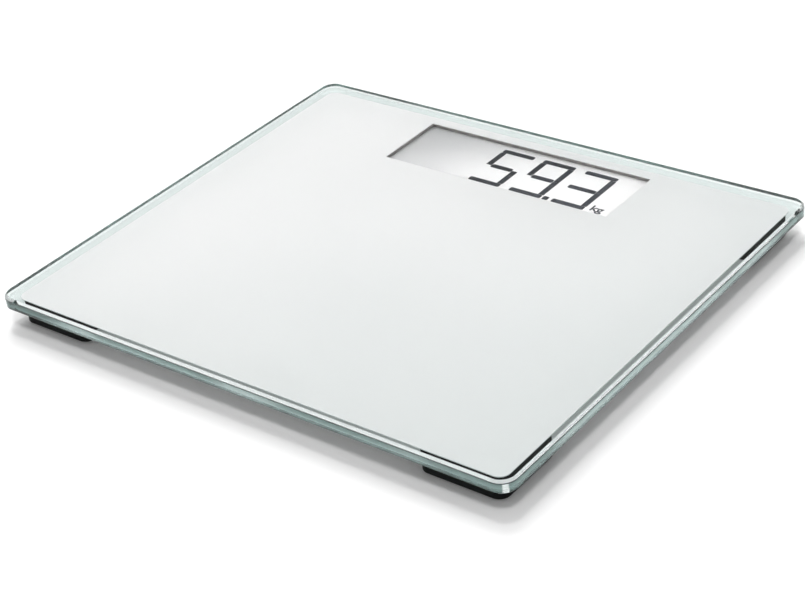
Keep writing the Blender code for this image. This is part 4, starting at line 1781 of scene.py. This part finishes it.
@dataclass
class Wiring:
    """The four leads from the load cells to the board, each of three twisted cores."""

    foot_x: float = 0.1365
    foot_y: float = 0.115
    cell_half: float = 0.0173
    inner_x: float = 0.1115
    cell_level: float = 0.0059
    board_level: float = 0.0093
    run_x: float = 0.070
    lead: float = 0.006
    bend: float = 0.016
    bend_cut: float = 0.3
    front_rise: float = 0.45
    back_lead: float = 0.5
    back_bend: float = 0.5
    back_rise: float = 0.3
    back_cut: float = 0.25
    housing_half: float = 0.0872
    housing_front_y: float = 0.04415
    board_front_y: float = 0.04785
    board_half: float = 0.0753
    board_y: float = 0.06215
    spacing: float = 0.0046
    core_radius: float = 0.00035
    core_offset: float = 0.0004
    core_sides: int = 8
    twist: float = 620.0
    jackets: tuple[str, ...] = ("core_red", "core_white", "core_black")

    def front_stops(self) -> list[Vector]:
        """Lists the stops of a front lead, on the right-hand side.

        Returns:
            The stops in order.
        """
        low, high = self.cell_level, self.board_level
        bend, run_x = self.bend, self.run_x
        start_y = -self.foot_y
        lead_x = self.inner_x - self.lead
        turn = self.bend_cut * bend
        places = [
            (self.foot_x - self.cell_half, start_y, low),
            (self.inner_x, start_y, low),
            (lead_x, start_y, low),
            (lead_x - bend, start_y, low + self.front_rise * (high - low)),
            (run_x + turn, start_y + turn, high),
            (run_x, start_y + bend, high),
            (run_x, start_y + 2 * bend, high),
            (run_x, self.housing_front_y, high),
            (run_x, self.board_front_y, high),
        ]
        return [Vector(place) for place in places]

    def back_stops(self) -> list[Vector]:
        """Lists the stops of a back lead, on the right-hand side.

        Returns:
            The stops in order.
        """
        low, high = self.cell_level, self.board_level
        bend, lead = self.bend, self.lead
        start_y, end_y = self.foot_y, self.board_y
        lane_x = (self.inner_x + self.housing_half) / 2
        places = [
            (self.foot_x - self.cell_half, start_y, low),
            (self.inner_x, start_y, low),
            (self.inner_x - self.back_lead * lead, start_y, low),
            (lane_x, start_y - self.back_bend * bend, low + self.back_rise * (high - low)),
            (lane_x, start_y - 2 * bend, high),
            (lane_x, end_y + bend, high),
            (lane_x - self.back_cut * lead, end_y + self.back_cut * bend, high),
            (self.housing_half, end_y, high),
            (self.board_half, end_y, high),
        ]
        return [Vector(place) for place in places]

    def smoothed(self, stops: list[Vector]) -> list[Vector]:
        """Returns evenly spaced points on a smooth curve through a lead's stops.

        Args:
            stops: The places that the lead passes.

        Returns:
            The lead's points.
        """
        along = [0.0]
        for before, after in zip(stops, stops[1:]):
            along.append(along[-1] + (after - before).length)
        last = len(stops) - 1
        slopes = []
        for here in range(len(stops)):
            low, high = max(here - 1, 0), min(here + 1, last)
            slopes.append((stops[high] - stops[low]) / (along[high] - along[low]))
        points = [stops[0]]
        for here in range(last):
            span = along[here + 1] - along[here]
            steps = max(1, round(span / self.spacing))
            for step in range(1, steps + 1):
                t = step / steps
                points.append(
                    stops[here] * (2 * t**3 - 3 * t**2 + 1)
                    + slopes[here] * span * (t**3 - 2 * t**2 + t)
                    + stops[here + 1] * (3 * t**2 - 2 * t**3)
                    + slopes[here + 1] * span * (t**3 - t**2)
                )
        return points

    def build_lead(self, corner: str, points: list[Vector], tree: RepeatTree) -> Object:
        """Builds one lead.

        Args:
            corner: Which foot it comes from.
            points: Its middle line.
            tree: The tree that twists a core.

        Returns:
            The three cores as one piece.
        """
        cores = []
        for index, jacket in enumerate(self.jackets):
            curve = bpy.data.curves.new("lead_path", "CURVE")
            curve.dimensions = "3D"
            spline = curve.splines.new("POLY")
            spline.points.add(len(points) - 1)
            for spline_point, point in zip(spline.points, points):
                spline_point.co = (*point, 1.0)
            core = tree.make(
                f"core_{index}_{corner}",
                jacket,
                linked("lead_path", curve),
                Core_radius=self.core_radius,
                Core_offset=self.core_offset,
                Phase=index * 2 * math.pi / len(self.jackets),
                Twist=self.twist,
            )
            cores.append(core)
        return merged(f"cell_lead_{corner}", cores)

    def build(self) -> None:
        """Builds the four leads and fits them."""
        tree = core_tree(self.core_sides)
        for corner in CORNERS:
            end, side = corner.split("_")
            stops = self.front_stops() if end == "front" else self.back_stops()
            sign = 1 if side == "right" else -1
            points = [Vector((sign * p.x, p.y, p.z)) for p in self.smoothed(stops)]
            lead = self.build_lead(corner, points, tree)
            fit(lead, Body.PLATFORM.value, "cable", f"cell_cable_{corner}")


def main() -> None:
    """Builds the studio and every sub-assembly."""
    logging.basicConfig(level=logging.INFO, format="%(name)s: %(message)s")
    Studio().build()
    GlassTop().build()
    ReadOut().build()
    studs = stud_tree()
    for corner in CORNERS:
        Foot(corner, studs).build()
    Electronics().build()
    Underside().build()
    Wiring().build()


if __name__ == "__main__":
    main()
